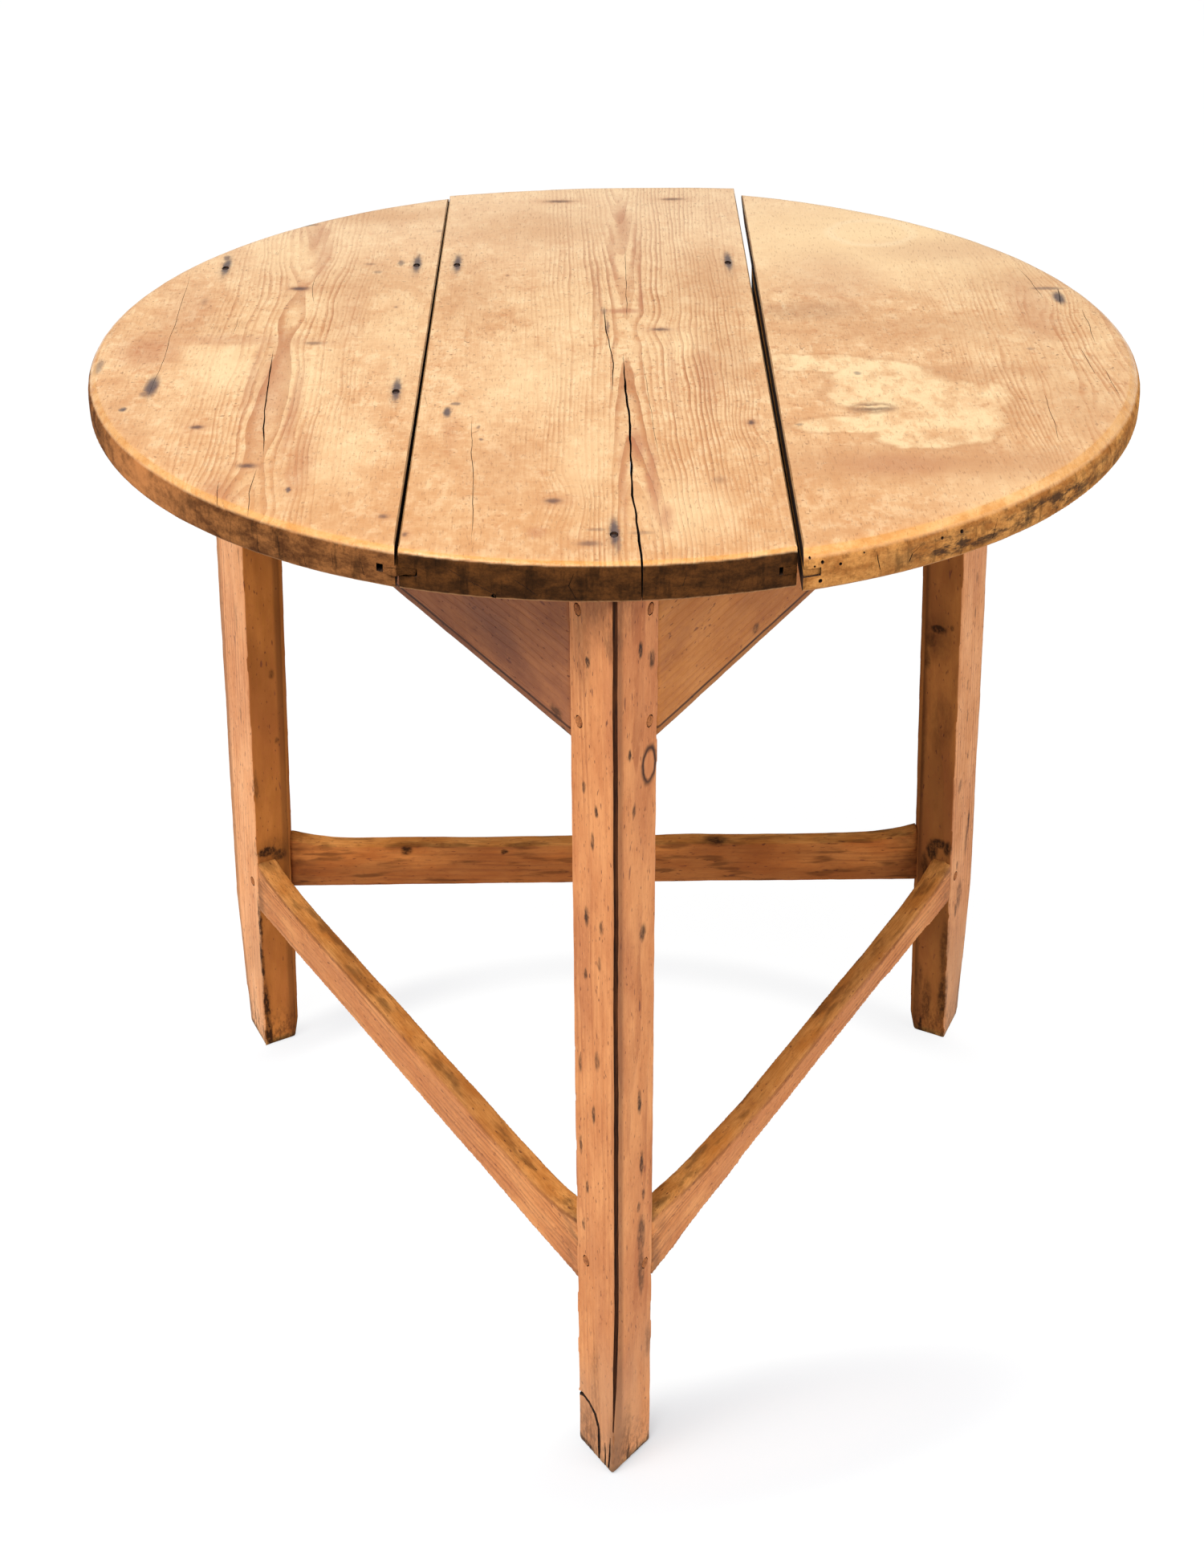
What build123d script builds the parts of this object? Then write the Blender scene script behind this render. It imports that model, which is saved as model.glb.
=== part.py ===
from build123d import *
import os
from math import cos, hypot, radians, sin, tan

# A three-legged country table: a round top of three boards, three kite-shaped
# legs, three aprons under the top and three stretchers near the floor.
# The front leg points along -Y, +Z is up, and the floor is at zero height.

# The top
top_diameter = 711.0
top_thickness = 26.0
table_height = 704.0
rim_upper_round = 8.0
rim_lower_round = 4.0

# Each joint between boards slants a little, so it has a place at the back of
# the rim and one at the front, both measured sideways from the middle.
left_joint_back = 124.0
left_joint_front = 129.6
right_joint_back = 108.2
right_joint_front = 102.4
left_gap_back = 0.7
left_gap_front = 2.3
right_gap_back = 5.2
right_gap_front = 3.2

# The middle board has shrunk and crept back, so its ends leave the circle.
middle_back_left_proud = 5.5
middle_back_proud = 0.5
middle_back_right_proud = 13.0
middle_front_left_short = 0.5
middle_front_short = 3.5
middle_front_right_short = 7.0

# A loose tongue lies in a groove along each joint. The right one has sheared
# off along both boards' edges, so its joint is open from top to underside.
tongue_thickness = 5.0
tongue_end_setback = 0.6
groove_width = 24.0
# How far each tongue falls short of the bottoms of its grooves
left_tongue_outer_short = 4.0
left_tongue_inner_short = 0.1
right_tongue_inner_short = 2.0
right_tongue_outer_short = 0.1

# The legs. Under the top, each outer arris stands this far in from the rim.
leg_arris_inset = 6.5
leg_splay_angle = 2.13
leg_face_top = 53.5
leg_face_floor = 49.0
leg_side_angle = 30.0
arris_groove_width = 3.6
arris_groove_depth = 6.8
foot_taper_height = 145.0
foot_arris_wear = 12.0
frame_shift = -3.9

# The aprons, each with its outer face level with the legs' faces
apron_depth = 115.0
apron_thickness = 20.0
apron_edge_chamfer = 4.0

# The stretchers
stretcher_thickness = 18.0
stretcher_end_shoulder = 6.0
stretcher_outer_wear = 5.0
stretcher_inner_wear = 3.5

left_stretcher_height = 145.5
left_stretcher_waist = 40.5
left_stretcher_front_depth = 55.0
left_stretcher_rear_depth = 50.0
left_stretcher_front_sweep = 75.0
left_stretcher_rear_sweep = 70.0
left_stretcher_bow = 1.0

right_stretcher_height = 148.0
right_stretcher_waist = 25.0
right_stretcher_front_depth = 52.0
right_stretcher_rear_depth = 40.0
right_stretcher_front_sweep = 210.0
right_stretcher_rear_sweep = 90.0
right_stretcher_bow = 5.0

rear_stretcher_height = 153.5
rear_stretcher_waist = 40.0
rear_stretcher_right_depth = 51.0
rear_stretcher_left_depth = 50.0
rear_stretcher_right_sweep = 60.0
rear_stretcher_left_sweep = 60.0
rear_stretcher_bow = 0.5

# The joints of the frame
tenon_thickness = 8.0
tenon_face_offset = 7.0
tenon_tip_gap = 0.8
tenon_play = 0.1
mortise_spare = 0.6
apron_tenon_lower_shoulder = 8.0
apron_tenon_upper_shoulder = 12.0
peg_diameter = 7.6
peg_play = 0.05
peg_proud = 0.4
peg_shoulder_inset = 10.0
peg_end_gap = 2.0
apron_peg_upper_drop = 22.5
apron_peg_lower_rise = 18.5
stretcher_peg_rise = 25.0

# The nails that hold the top
nail_head_diameter = 6.4
nail_head_thickness = 1.2
nail_shank_width = 3.4
nail_tip_width = 1.6
nail_length = 58.0
nail_play = 0.05

# Nails into an apron: the board, the apron, the nearest joint of the top, and
# the place sideways from that joint.
apron_nail_insets = [
    ("left", "rear", "left", -16.5),
    ("left", "left", "left", -15.6),
    ("centre", "rear", "left", 13.5),
    ("centre", "rear", "right", -16.7),
    ("right", "right", "right", 18.4),
]
# Nails into a leg: the board, the leg, and the place in from the arris as a
# share of the leg's depth.
leg_nail_shares = [
    ("left", "rear_left", 0.42),
    ("centre", "front", 0.58),
]

# Room that every cut runs past the face that it starts from
overrun = 5.0

leg_angles = {"front": -90.0, "rear_right": 30.0, "rear_left": 150.0}
side_angles = {"left": 210.0, "right": 330.0, "rear": 90.0}
# Each side lies between two legs. The first is the one at its far end, to the
# left of someone who looks at the side's outer face.
side_legs = {
    "left": ("rear_left", "front"),
    "right": ("front", "rear_right"),
    "rear": ("rear_right", "rear_left"),
}

top_radius = top_diameter / 2
leg_arris_radius = top_radius - leg_arris_inset
top_underside = table_height - top_thickness
apron_height = top_underside - apron_depth
splay_slope = tan(radians(leg_splay_angle))


def direction(angle):
    return Vector(cos(radians(angle)), sin(radians(angle)), 0)


def leg_radius(z):
    return leg_arris_radius + (top_underside - z) * splay_slope


def leg_face(z):
    return leg_face_floor + (leg_face_top - leg_face_floor) * z / top_underside


def at_height(point, z):
    return Vector(point.X, point.Y, z)


# The plan of the top, measured from its centre

def joint_place(back, front, y):
    """Sideways place of a joint line at y, measured from the top's centre."""
    share_of_way = (top_radius - y) / top_diameter
    return back + (front - back) * share_of_way


def circle_through(first, second, third):
    """Centre and radius of the circle through three points."""
    (ax, ay), (bx, by), (cx, cy) = first, second, third
    spread = 2 * (ax * (by - cy) + bx * (cy - ay) + cx * (ay - by))
    a_size = ax * ax + ay * ay
    b_size = bx * bx + by * by
    c_size = cx * cx + cy * cy
    x = (a_size * (by - cy) + b_size * (cy - ay) + c_size * (ay - by)) / spread
    y = (a_size * (cx - bx) + b_size * (ax - cx) + c_size * (bx - ax)) / spread
    return x, y, hypot(ax - x, ay - y)


def circle_height(x):
    return (top_radius ** 2 - x ** 2) ** 0.5


left_edge = (-left_joint_back - left_gap_back / 2, -left_joint_front - left_gap_front / 2)
middle_left_edge = (-left_joint_back + left_gap_back / 2, -left_joint_front + left_gap_front / 2)
middle_right_edge = (right_joint_back - right_gap_back / 2, right_joint_front - right_gap_front / 2)
right_edge = (right_joint_back + right_gap_back / 2, right_joint_front + right_gap_front / 2)

middle_back_circle = circle_through(
    (middle_left_edge[0], circle_height(middle_left_edge[0]) + middle_back_left_proud),
    (0, top_radius + middle_back_proud),
    (middle_right_edge[0], circle_height(middle_right_edge[0]) + middle_back_right_proud),
)
middle_front_circle = circle_through(
    (middle_left_edge[1], -circle_height(middle_left_edge[1]) + middle_front_left_short),
    (0, -top_radius + middle_front_short),
    (middle_right_edge[1], -circle_height(middle_right_edge[1]) + middle_front_right_short),
)

# The whole table is moved along Y by this much, so that the origin is in the
# middle of the space that the table takes up.
front_reach = leg_radius(foot_taper_height) - arris_groove_width / 2 / tan(radians(leg_side_angle))
back_reach = middle_back_circle[1] + middle_back_circle[2]
centring = (front_reach - back_reach) / 2
top_centre = Vector(0, centring, 0)
frame_centre = Vector(frame_shift, centring, 0)


def face_from(points):
    return Face(Wire.make_polygon(points, close=True))


def prism_between(lower_points, upper_points):
    return loft([face_from(lower_points), face_from(upper_points)], ruled=True)


# The top's boards

def board_edge(back, front):
    """Two ends of a board's straight edge, well past the rim."""
    reach = top_radius + middle_back_right_proud + overrun
    return [(joint_place(back, front, y), y) for y in (reach, -reach)]


def disc(x, y, radius, low, thickness):
    place = top_centre + Vector(x, y, low)
    return Pos(place) * Cylinder(radius, thickness, align=(Align.CENTER, Align.CENTER, Align.MIN))


def worn_disc(x, y, radius):
    """A disc as thick as the top, with a soft rim."""
    blank = disc(x, y, radius, top_underside, top_thickness)
    lower_rim, upper_rim = blank.edges().filter_by(GeomType.CIRCLE).sort_by(Axis.Z)
    soft_above = fillet(upper_rim, rim_upper_round)
    lower_rim = soft_above.edges().filter_by(GeomType.CIRCLE).sort_by(Axis.Z)[0]
    return fillet(lower_rim, rim_lower_round)


def block(corners, low, high):
    """An upright block over an outline measured from the top's centre."""
    base = [top_centre + Vector(x, y, low) for x, y in corners]
    return extrude(face_from(base), high - low, dir=(0, 0, 1))


def joint_strip(left_line, right_line, low, high):
    """A straight strip between two lines along a joint, past the rim at both ends."""
    left_ends, right_ends = board_edge(*left_line), board_edge(*right_line)
    return block(left_ends + right_ends[::-1], low, high)


def beside(line, offset):
    """The same line along a joint, moved sideways."""
    return line[0] + offset, line[1] + offset


joint_lines = {
    "left": (-left_joint_back, -left_joint_front),
    "right": (right_joint_back, right_joint_front),
}
tongue_low = table_height - (top_thickness + tongue_thickness) / 2


def joint_bar(joint, left_short, right_short):
    """A bar as thick as a tongue, this much short of each side of a groove."""
    middle = joint_lines[joint]
    left = beside(middle, left_short - groove_width / 2)
    right = beside(middle, groove_width / 2 - right_short)
    return joint_strip(left, right, tongue_low, tongue_low + tongue_thickness)


def groove(joint):
    return joint_bar(joint, 0, 0)


def within(bar, circles):
    """What of a bar lies a little inside every circle."""
    for x, y, radius in circles:
        short = radius - tongue_end_setback
        bar = bar & disc(x, y, short, tongue_low, tongue_thickness)
    return bar


def tongue(joint, left_short, right_short, left_circles, right_circles):
    """The loose strip of wood in a joint, a little short of both boards' ends."""
    half = groove_width / 2
    left_part = within(joint_bar(joint, left_short, half), left_circles)
    right_part = within(joint_bar(joint, half, right_short), right_circles)
    return left_part + right_part


def sheared(piece, left_line, right_line):
    """A tongue that has broken away in the gap, so that a strip is left in each board."""
    return piece - joint_strip(left_line, right_line, top_underside, table_height)


def outer_board(edge, outward):
    """A side board: the part of the round top past one joint."""
    inner = board_edge(*edge)
    far = outward * (top_radius + overrun)
    corners = [inner[0], inner[1], (far, inner[1][1]), (far, inner[0][1])]
    round_top = worn_disc(0, 0, top_radius)
    return round_top & block(corners, top_underside - overrun, table_height + overrun)


def middle_half(circle, near, far):
    """Half of the middle board, from one height in the plan to another."""
    left = [(joint_place(*middle_left_edge, y), y) for y in (near, far)]
    right = [(joint_place(*middle_right_edge, y), y) for y in (far, near)]
    return worn_disc(*circle) & block(left + right, top_underside - overrun, table_height + overrun)


def middle_board():
    reach = top_radius + middle_back_right_proud + overrun
    return middle_half(middle_back_circle, 0, reach) + middle_half(middle_front_circle, 0, -reach)


# The legs

def leg_corners(name, z, wear=0):
    """The kite of a leg at height z: arris, near corner, inner corner, far corner."""
    angle = leg_angles[name]
    outward = direction(angle)
    arris = frame_centre + outward * leg_radius(z)
    face = leg_face(z)
    first = arris - direction(angle - leg_side_angle) * face
    second = arris - direction(angle + leg_side_angle) * face
    inner = arris - outward * (face / cos(radians(leg_side_angle)))
    worn_arris = arris - outward * wear
    return [at_height(point, z) for point in (worn_arris, first, inner, second)]


def arris_groove(name):
    """The channel worn and split along a leg's outer arris."""
    outward = direction(leg_angles[name])
    across = Vector(-outward.Y, outward.X, 0) * (arris_groove_width / 2)

    def section(z):
        arris = at_height(leg_corners(name, z)[0], z)
        floor = arris - outward * arris_groove_depth
        mouth = arris + outward * overrun
        return [floor - across, floor + across, mouth + across, mouth - across]

    return prism_between(section(-overrun), section(top_underside + overrun))


def leg_blank(name):
    shaft = prism_between(leg_corners(name, foot_taper_height), leg_corners(name, top_underside))
    foot = prism_between(leg_corners(name, 0, foot_arris_wear), leg_corners(name, foot_taper_height))
    return shaft + foot - arris_groove(name)


def shoulder_plane(side, end):
    """The plane of a leg's face that a rail of this side butts against.

    Its normal points to the middle of the side.
    """
    leg = side_legs[side][end]
    low = leg_corners(leg, 0)
    high = leg_corners(leg, top_underside)
    corner = 1 if end == 0 else 3
    along = side_direction(side)
    inward = along if end == 0 else along * -1
    normal = (high[corner] - low[corner]).cross(high[2] - high[corner]).normalized()
    if normal.dot(inward) < 0:
        normal = normal * -1
    return Plane(origin=high[corner], x_dir=high[2] - high[corner], z_dir=normal)


# The rails between the legs

def side_normal(side):
    return direction(side_angles[side])


def side_direction(side):
    """Along a side, from its first leg to its second."""
    return direction(side_angles[side] + 90)


def face_distance(z):
    """From the frame's axis to the outer faces of the rails and legs."""
    return leg_radius(z) * sin(radians(leg_side_angle))


def rail_bar(side, section, length):
    """A long bar along a side.

    The section is a list of (depth behind the outer face, height).
    """
    normal = side_normal(side)
    along = side_direction(side)
    points = []
    for depth, z in section:
        place = frame_centre + normal * (face_distance(z) - depth) - along * length
        points.append(at_height(place, z))
    return extrude(face_from(points), 2 * length, dir=along)


def between_shoulders(side, bar, reach):
    """A bar cut off past both shoulders by this much."""
    for end in (0, 1):
        plane = shoulder_plane(side, end).offset(-reach)
        bar = split(bar, bisect_by=plane, keep=Keep.TOP)
    return bar


def tenon_length():
    """Long enough to reach nearly to the tenon that comes in from the other side."""
    tip_depth = tenon_face_offset + tenon_thickness
    return leg_face_floor - tip_depth / tan(radians(leg_side_angle)) - tenon_tip_gap


def tenons(side, low, high, play=0, spare=0):
    """A bar as thick as the tenons, through a rail and into both legs."""
    near = tenon_face_offset - play
    far = tenon_face_offset + tenon_thickness + play
    section = [(near, low - play), (near, high + play), (far, high + play), (far, low - play)]
    bar = rail_bar(side, section, leg_arris_radius)
    return between_shoulders(side, bar, tenon_length() + spare)


def apron_tenon_heights():
    return apron_height + apron_tenon_lower_shoulder, top_underside - apron_tenon_upper_shoulder


def apron(side):
    cut = apron_edge_chamfer
    section = [
        (cut, apron_height),
        (0, apron_height + cut),
        (0, top_underside),
        (apron_thickness, top_underside),
        (apron_thickness, apron_height),
    ]
    board = between_shoulders(side, rail_bar(side, section, leg_arris_radius), 0)
    return board + tenons(side, *apron_tenon_heights())


# Each stretcher: height of its lower edge, depth at the waist, depths and
# sweeps at its first and second leg, and how far its lower edge bows up.
stretchers = {
    "left": (
        left_stretcher_height, left_stretcher_waist,
        left_stretcher_rear_depth, left_stretcher_front_depth,
        left_stretcher_rear_sweep, left_stretcher_front_sweep,
        left_stretcher_bow,
    ),
    "right": (
        right_stretcher_height, right_stretcher_waist,
        right_stretcher_front_depth, right_stretcher_rear_depth,
        right_stretcher_front_sweep, right_stretcher_rear_sweep,
        right_stretcher_bow,
    ),
    "rear": (
        rear_stretcher_height, rear_stretcher_waist,
        rear_stretcher_right_depth, rear_stretcher_left_depth,
        rear_stretcher_right_sweep, rear_stretcher_left_sweep,
        rear_stretcher_bow,
    ),
}


def shoulder_reach(z):
    """From the middle of a side to the shoulder at its end."""
    return leg_radius(z) * cos(radians(leg_side_angle)) - leg_face(z)


def elevation_point(side, along, z):
    """A point of the upright plane through the frame's axis, along a side."""
    return at_height(frame_centre + side_direction(side) * along, z)


def through_side(side, outline):
    """A block over an outline of that upright plane, out past the side's face."""
    return extrude(Face(outline), leg_arris_radius, dir=side_normal(side))


def top_scoop(side):
    """What feet have worn from a stretcher's upper edge."""
    low, waist, first_depth, second_depth, first_sweep, second_sweep, bow = stretchers[side]
    waist_height = low + bow + waist
    first_height = low + first_depth
    second_height = low + second_depth
    high = max(first_height, second_height) + overrun
    reach = shoulder_reach(low)
    first = elevation_point(side, -reach, first_height)
    second = elevation_point(side, reach, second_height)
    first_waist = elevation_point(side, first_sweep - reach, waist_height)
    second_waist = elevation_point(side, reach - second_sweep, waist_height)
    along = side_direction(side)
    first_arc = Edge.make_tangent_arc(first_waist, along * -1, first)
    second_arc = Edge.make_tangent_arc(second_waist, along, second)
    second_high = elevation_point(side, reach, high)
    first_high = elevation_point(side, -reach, high)
    outline = Wire([
        first_arc,
        Edge.make_line(first_waist, second_waist),
        second_arc,
        Edge.make_line(second, second_high),
        Edge.make_line(second_high, first_high),
        Edge.make_line(first_high, first),
    ])
    return through_side(side, outline)


def underside_bow(side):
    """The shallow hollow of a stretcher's lower edge."""
    low, bow = stretchers[side][0], stretchers[side][-1]
    reach = shoulder_reach(low)
    first = elevation_point(side, -reach, low)
    second = elevation_point(side, reach, low)
    crown = elevation_point(side, 0, low + bow)
    return through_side(side, Wire([
        Edge.make_three_point_arc(first, crown, second),
        Edge.make_line(second, first),
    ]))


def upper_edges(side, rail, depth, low):
    """The long upper edges of a rail that lie at this depth behind its face."""
    found = []
    for edge in rail.edges():
        middle = edge.position_at(0.5)
        ends = edge.position_at(0), edge.position_at(1)
        run = abs((ends[1] - ends[0]).dot(side_direction(side)))
        behind = face_distance(middle.Z) - (middle - frame_centre).dot(side_normal(side))
        if run > stretcher_thickness and abs(behind - depth) < tenon_play and middle.Z > low:
            found.append(edge)
    return found


def stretcher_tenon_heights(side):
    """Heights of a stretcher's tenons, which clear the shoulders of both ends."""
    low, _, first_depth, second_depth = stretchers[side][:4]
    lowest = low + stretcher_end_shoulder
    return lowest, low + min(first_depth, second_depth) - stretcher_end_shoulder


def stretcher_tenons(side, play=0, spare=0):
    """Tenons of a stretcher, one at each end, which stop a little inside the rail."""
    low, high = stretcher_tenon_heights(side)
    bar = tenons(side, low, high, play, spare)
    ends = []
    for end in (0, 1):
        plane = shoulder_plane(side, end).offset(stretcher_thickness / 2)
        ends.append(split(bar, bisect_by=plane, keep=Keep.BOTTOM))
    return ends


def stretcher(side):
    low, waist, first_depth, second_depth, *_, bow = stretchers[side]
    high = low + max(first_depth, second_depth)
    section = [(0, low), (0, high), (stretcher_thickness, high), (stretcher_thickness, low)]
    rail = between_shoulders(side, rail_bar(side, section, leg_arris_radius), 0)
    rail = rail - top_scoop(side)
    rail = rail - underside_bow(side)
    middle = low + bow + waist / 2
    rail = fillet(upper_edges(side, rail, 0, middle), stretcher_outer_wear)
    rail = fillet(upper_edges(side, rail, stretcher_thickness, middle), stretcher_inner_wear)
    for end in stretcher_tenons(side):
        rail = rail + end
    return rail


# The pegs and nails

def peg(side, end, z, play=0):
    """A peg through a leg's face and a tenon, at height z."""
    leg = side_legs[side][end]
    corner = leg_corners(leg, z)[1 if end == 0 else 3]
    along = side_direction(side)
    toward_arris = along * -1 if end == 0 else along
    mouth = corner + toward_arris * peg_shoulder_inset + side_normal(side) * peg_proud
    from_arris = leg_face(z) - peg_shoulder_inset
    length = from_arris * tan(radians(leg_side_angle)) - peg_end_gap + peg_proud
    base = Plane(origin=mouth, z_dir=side_normal(side) * -1)
    return base * Cylinder(peg_diameter / 2 + play, length, align=(Align.CENTER, Align.CENTER, Align.MIN))


def leg_ends(name):
    """The sides that meet at a leg, and which end of each it is."""
    return [(side, legs.index(name)) for side, legs in side_legs.items() if name in legs]


def apron_peg_heights():
    return top_underside - apron_peg_upper_drop, apron_height + apron_peg_lower_rise


def apron_pegs(name, play=0):
    return [peg(side, end, z, play) for side, end in leg_ends(name) for z in apron_peg_heights()]


def stretcher_pegs(name, play=0):
    pegs = []
    for side, end in leg_ends(name):
        low, high = stretcher_tenon_heights(side)
        height = min(stretchers[side][0] + stretcher_peg_rise, (low + high) / 2)
        pegs.append(peg(side, end, height, play))
    return pegs


def nail(place, play=0):
    """A square tapered nail with a round head, level with the top."""
    head_low = table_height - nail_head_thickness - play
    head_radius = nail_head_diameter / 2 + play
    head = Pos(at_height(place, head_low)) * Cylinder(
        head_radius, nail_head_thickness + play, align=(Align.CENTER, Align.CENTER, Align.MIN)
    )

    def section(width, z):
        half = width / 2 + play
        turns = ((-half, -half), (half, -half), (half, half), (-half, half))
        return [at_height(place, z) + Vector(x, y, 0) for x, y in turns]

    tip = section(nail_tip_width, table_height - nail_length - play)
    return head + prism_between(tip, section(nail_shank_width, head_low))


def over_apron(side, line):
    """The place in the plan where a line along a joint crosses an apron's middle."""
    behind = face_distance(top_underside) - apron_thickness / 2
    middle = frame_centre - top_centre + side_normal(side) * behind
    along = side_direction(side)
    slant = (line[1] - line[0]) / top_diameter
    share = joint_place(*line, middle.Y) - middle.X
    return top_centre + middle + along * (share / (along.X + slant * along.Y))


def nail_places():
    """Every nail as its board and its place in the plan."""
    places = []
    for board, side, joint, inset in apron_nail_insets:
        places.append((board, over_apron(side, beside(joint_lines[joint], inset))))
    for board, leg, share in leg_nail_shares:
        arris, _, inner, _ = leg_corners(leg, top_underside)
        places.append((board, arris + (inner - arris) * share))
    return places


def cut_all(piece, cutters):
    """A piece less every cutter that comes near it."""
    for cutter in cutters:
        if boxes_meet(piece.bounding_box(), cutter.bounding_box()):
            piece = piece - cutter
    return piece


def boxes_meet(first, second):
    """True where two upright boxes share some space."""
    lows = zip(first.min, second.min)
    highs = zip(first.max, second.max)
    return all(max(low) < min(high) for low, high in zip(lows, highs))


def write(name, shape):
    solids = shape.solids()
    shape = solids[0] if len(solids) == 1 else Compound(children=list(solids))
    export_step(shape, f"parts/{name}.step")
    print(name, len(solids), round(sum(solid.volume for solid in solids)))


os.makedirs("parts", exist_ok=True)

nail_holes = [nail(place, nail_play) for _, place in nail_places()]
grooves = [groove(joint) for joint in joint_lines]

boards = {
    "left": outer_board(left_edge, -1),
    "centre": middle_board(),
    "right": outer_board(right_edge, 1),
}
for name, board in boards.items():
    write(f"top_board_{name}", cut_all(board, grooves + nail_holes))
outer_circles = [(0, 0, top_radius)]
middle_circles = [middle_back_circle, middle_front_circle]
left_tongue = tongue(
    "left", left_tongue_outer_short, left_tongue_inner_short, outer_circles, middle_circles
)
right_tongue = tongue(
    "right", right_tongue_inner_short, right_tongue_outer_short, middle_circles, outer_circles
)
right_tongue = sheared(right_tongue, middle_right_edge, right_edge)
write("joint_tongue_left", cut_all(left_tongue, nail_holes))
write("joint_tongue_right", cut_all(right_tongue, nail_holes))

all_peg_holes = []
for leg in leg_angles:
    all_peg_holes += apron_pegs(leg, peg_play) + stretcher_pegs(leg, peg_play)

mortises = []
for side in side_angles:
    mortises.append(tenons(side, *apron_tenon_heights(), tenon_play, mortise_spare))
    mortises += stretcher_tenons(side, tenon_play, mortise_spare)

for side in side_angles:
    write(f"apron_{side}", cut_all(apron(side), all_peg_holes + nail_holes))
    write(f"stretcher_{side}", cut_all(stretcher(side), all_peg_holes))
for leg in leg_angles:
    write(f"leg_{leg}", cut_all(leg_blank(leg), mortises + all_peg_holes + nail_holes))
    write(f"apron_pegs_{leg}", Compound(children=apron_pegs(leg)))
    write(f"stretcher_pegs_{leg}", Compound(children=stretcher_pegs(leg)))
for board in boards:
    nails = [nail(place) for owner, place in nail_places() if owner == board]
    write(f"top_nails_{board}", Compound(children=nails))
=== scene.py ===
# %% [markdown]
# # A three-legged country table, dressed for its photograph
# The frame that comes in already has every size, joint and name right, but it
# is made of perfect solids. An old pine table is not perfect: its boards have
# shrunk, split and been scrubbed for two centuries. Each piece is modelled
# again here in the same place, worn, and then coloured.

from math import cos, hypot, radians, sin, tan

import bpy
from mathutils import Matrix, Vector, noise


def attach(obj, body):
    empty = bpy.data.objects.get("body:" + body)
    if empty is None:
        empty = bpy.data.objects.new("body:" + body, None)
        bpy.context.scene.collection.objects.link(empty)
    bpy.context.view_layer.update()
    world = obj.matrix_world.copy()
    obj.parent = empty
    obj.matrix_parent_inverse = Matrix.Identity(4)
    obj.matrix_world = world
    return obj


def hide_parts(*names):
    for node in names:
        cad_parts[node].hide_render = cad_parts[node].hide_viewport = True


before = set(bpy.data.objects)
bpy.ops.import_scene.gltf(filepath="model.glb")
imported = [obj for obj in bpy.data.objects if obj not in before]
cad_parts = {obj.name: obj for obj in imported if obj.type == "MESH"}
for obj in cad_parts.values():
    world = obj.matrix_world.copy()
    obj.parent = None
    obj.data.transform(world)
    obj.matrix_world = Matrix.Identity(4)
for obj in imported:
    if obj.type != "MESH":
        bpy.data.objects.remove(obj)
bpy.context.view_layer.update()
mm = 0.001
print("nodes in the frame:", sorted(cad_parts))

# %% [markdown]
# ## Where everything stands
# The new pieces have to lie where the frame's solids lie, so the joiner's sizes
# are written down once, in millimetres, and turned into metres by the factor
# mm. The top's centre is a little behind the middle of the table, and the legs'
# frame sits a little to the left of it.

# %% Sizes of the table
TABLE_HEIGHT = 704 * mm
TOP_THICKNESS = 26 * mm
UNDERSIDE = TABLE_HEIGHT - TOP_THICKNESS
TOP_RADIUS = 355.5 * mm
ARRIS_RADIUS = 349 * mm
SPLAY = tan(radians(2.13))
FACE_TOP = 53.5 * mm
FACE_FLOOR = 49 * mm
FOOT_TAPER = 145 * mm
FOOT_WEAR = 9 * mm
KITE_ANGLE = 30
APRON_DEPTH = 115 * mm
APRON_THICKNESS = 20 * mm
STRETCHER_THICKNESS = 18 * mm
TOP_CENTRE = Vector((0, 4.5 * mm, 0))
FRAME_CENTRE = Vector((-3.9 * mm, 4.5 * mm, 0))
LEG_ANGLES = {"front": -90, "rear_right": 30, "rear_left": 150}
SIDE_ANGLES = {"left": 210, "right": 330, "rear": 90}
SIDE_LEGS = {
    "left": ("rear_left", "front"),
    "right": ("front", "rear_right"),
    "rear": ("rear_right", "rear_left"),
}


def heading(angle):
    """A level direction, in degrees from +X."""
    return Vector((cos(radians(angle)), sin(radians(angle)), 0))


def leg_radius(z):
    return ARRIS_RADIUS + (UNDERSIDE - z) * SPLAY


def leg_face(z):
    return FACE_FLOOR + (FACE_TOP - FACE_FLOOR) * z / UNDERSIDE


def face_distance(z):
    """How far the frame's outer faces stand from its axis."""
    return leg_radius(z) * sin(radians(KITE_ANGLE))


def leg_corners(name, z, wear=0):
    """A leg's kite at height z: outer arris, side corner, inner corner, side corner."""
    angle = LEG_ANGLES[name]
    arris = FRAME_CENTRE + heading(angle) * leg_radius(z) + Vector((0, 0, z))
    face = leg_face(z)
    return [
        arris - heading(angle) * wear,
        arris - heading(angle - KITE_ANGLE) * face,
        arris - heading(angle) * (face / cos(radians(KITE_ANGLE))),
        arris - heading(angle + KITE_ANGLE) * face,
    ]


print("front leg at the floor:", [tuple(round(c / mm) for c in p) for p in leg_corners("front", 0)])

# %% [markdown]
# ## The camera
# The photograph was taken from standing height with a moderately long lens,
# looking down by about thirty degrees. The camera is turned in three steps,
# heading, tilt and a trace of roll, which is easier to check than one matrix.

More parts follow.
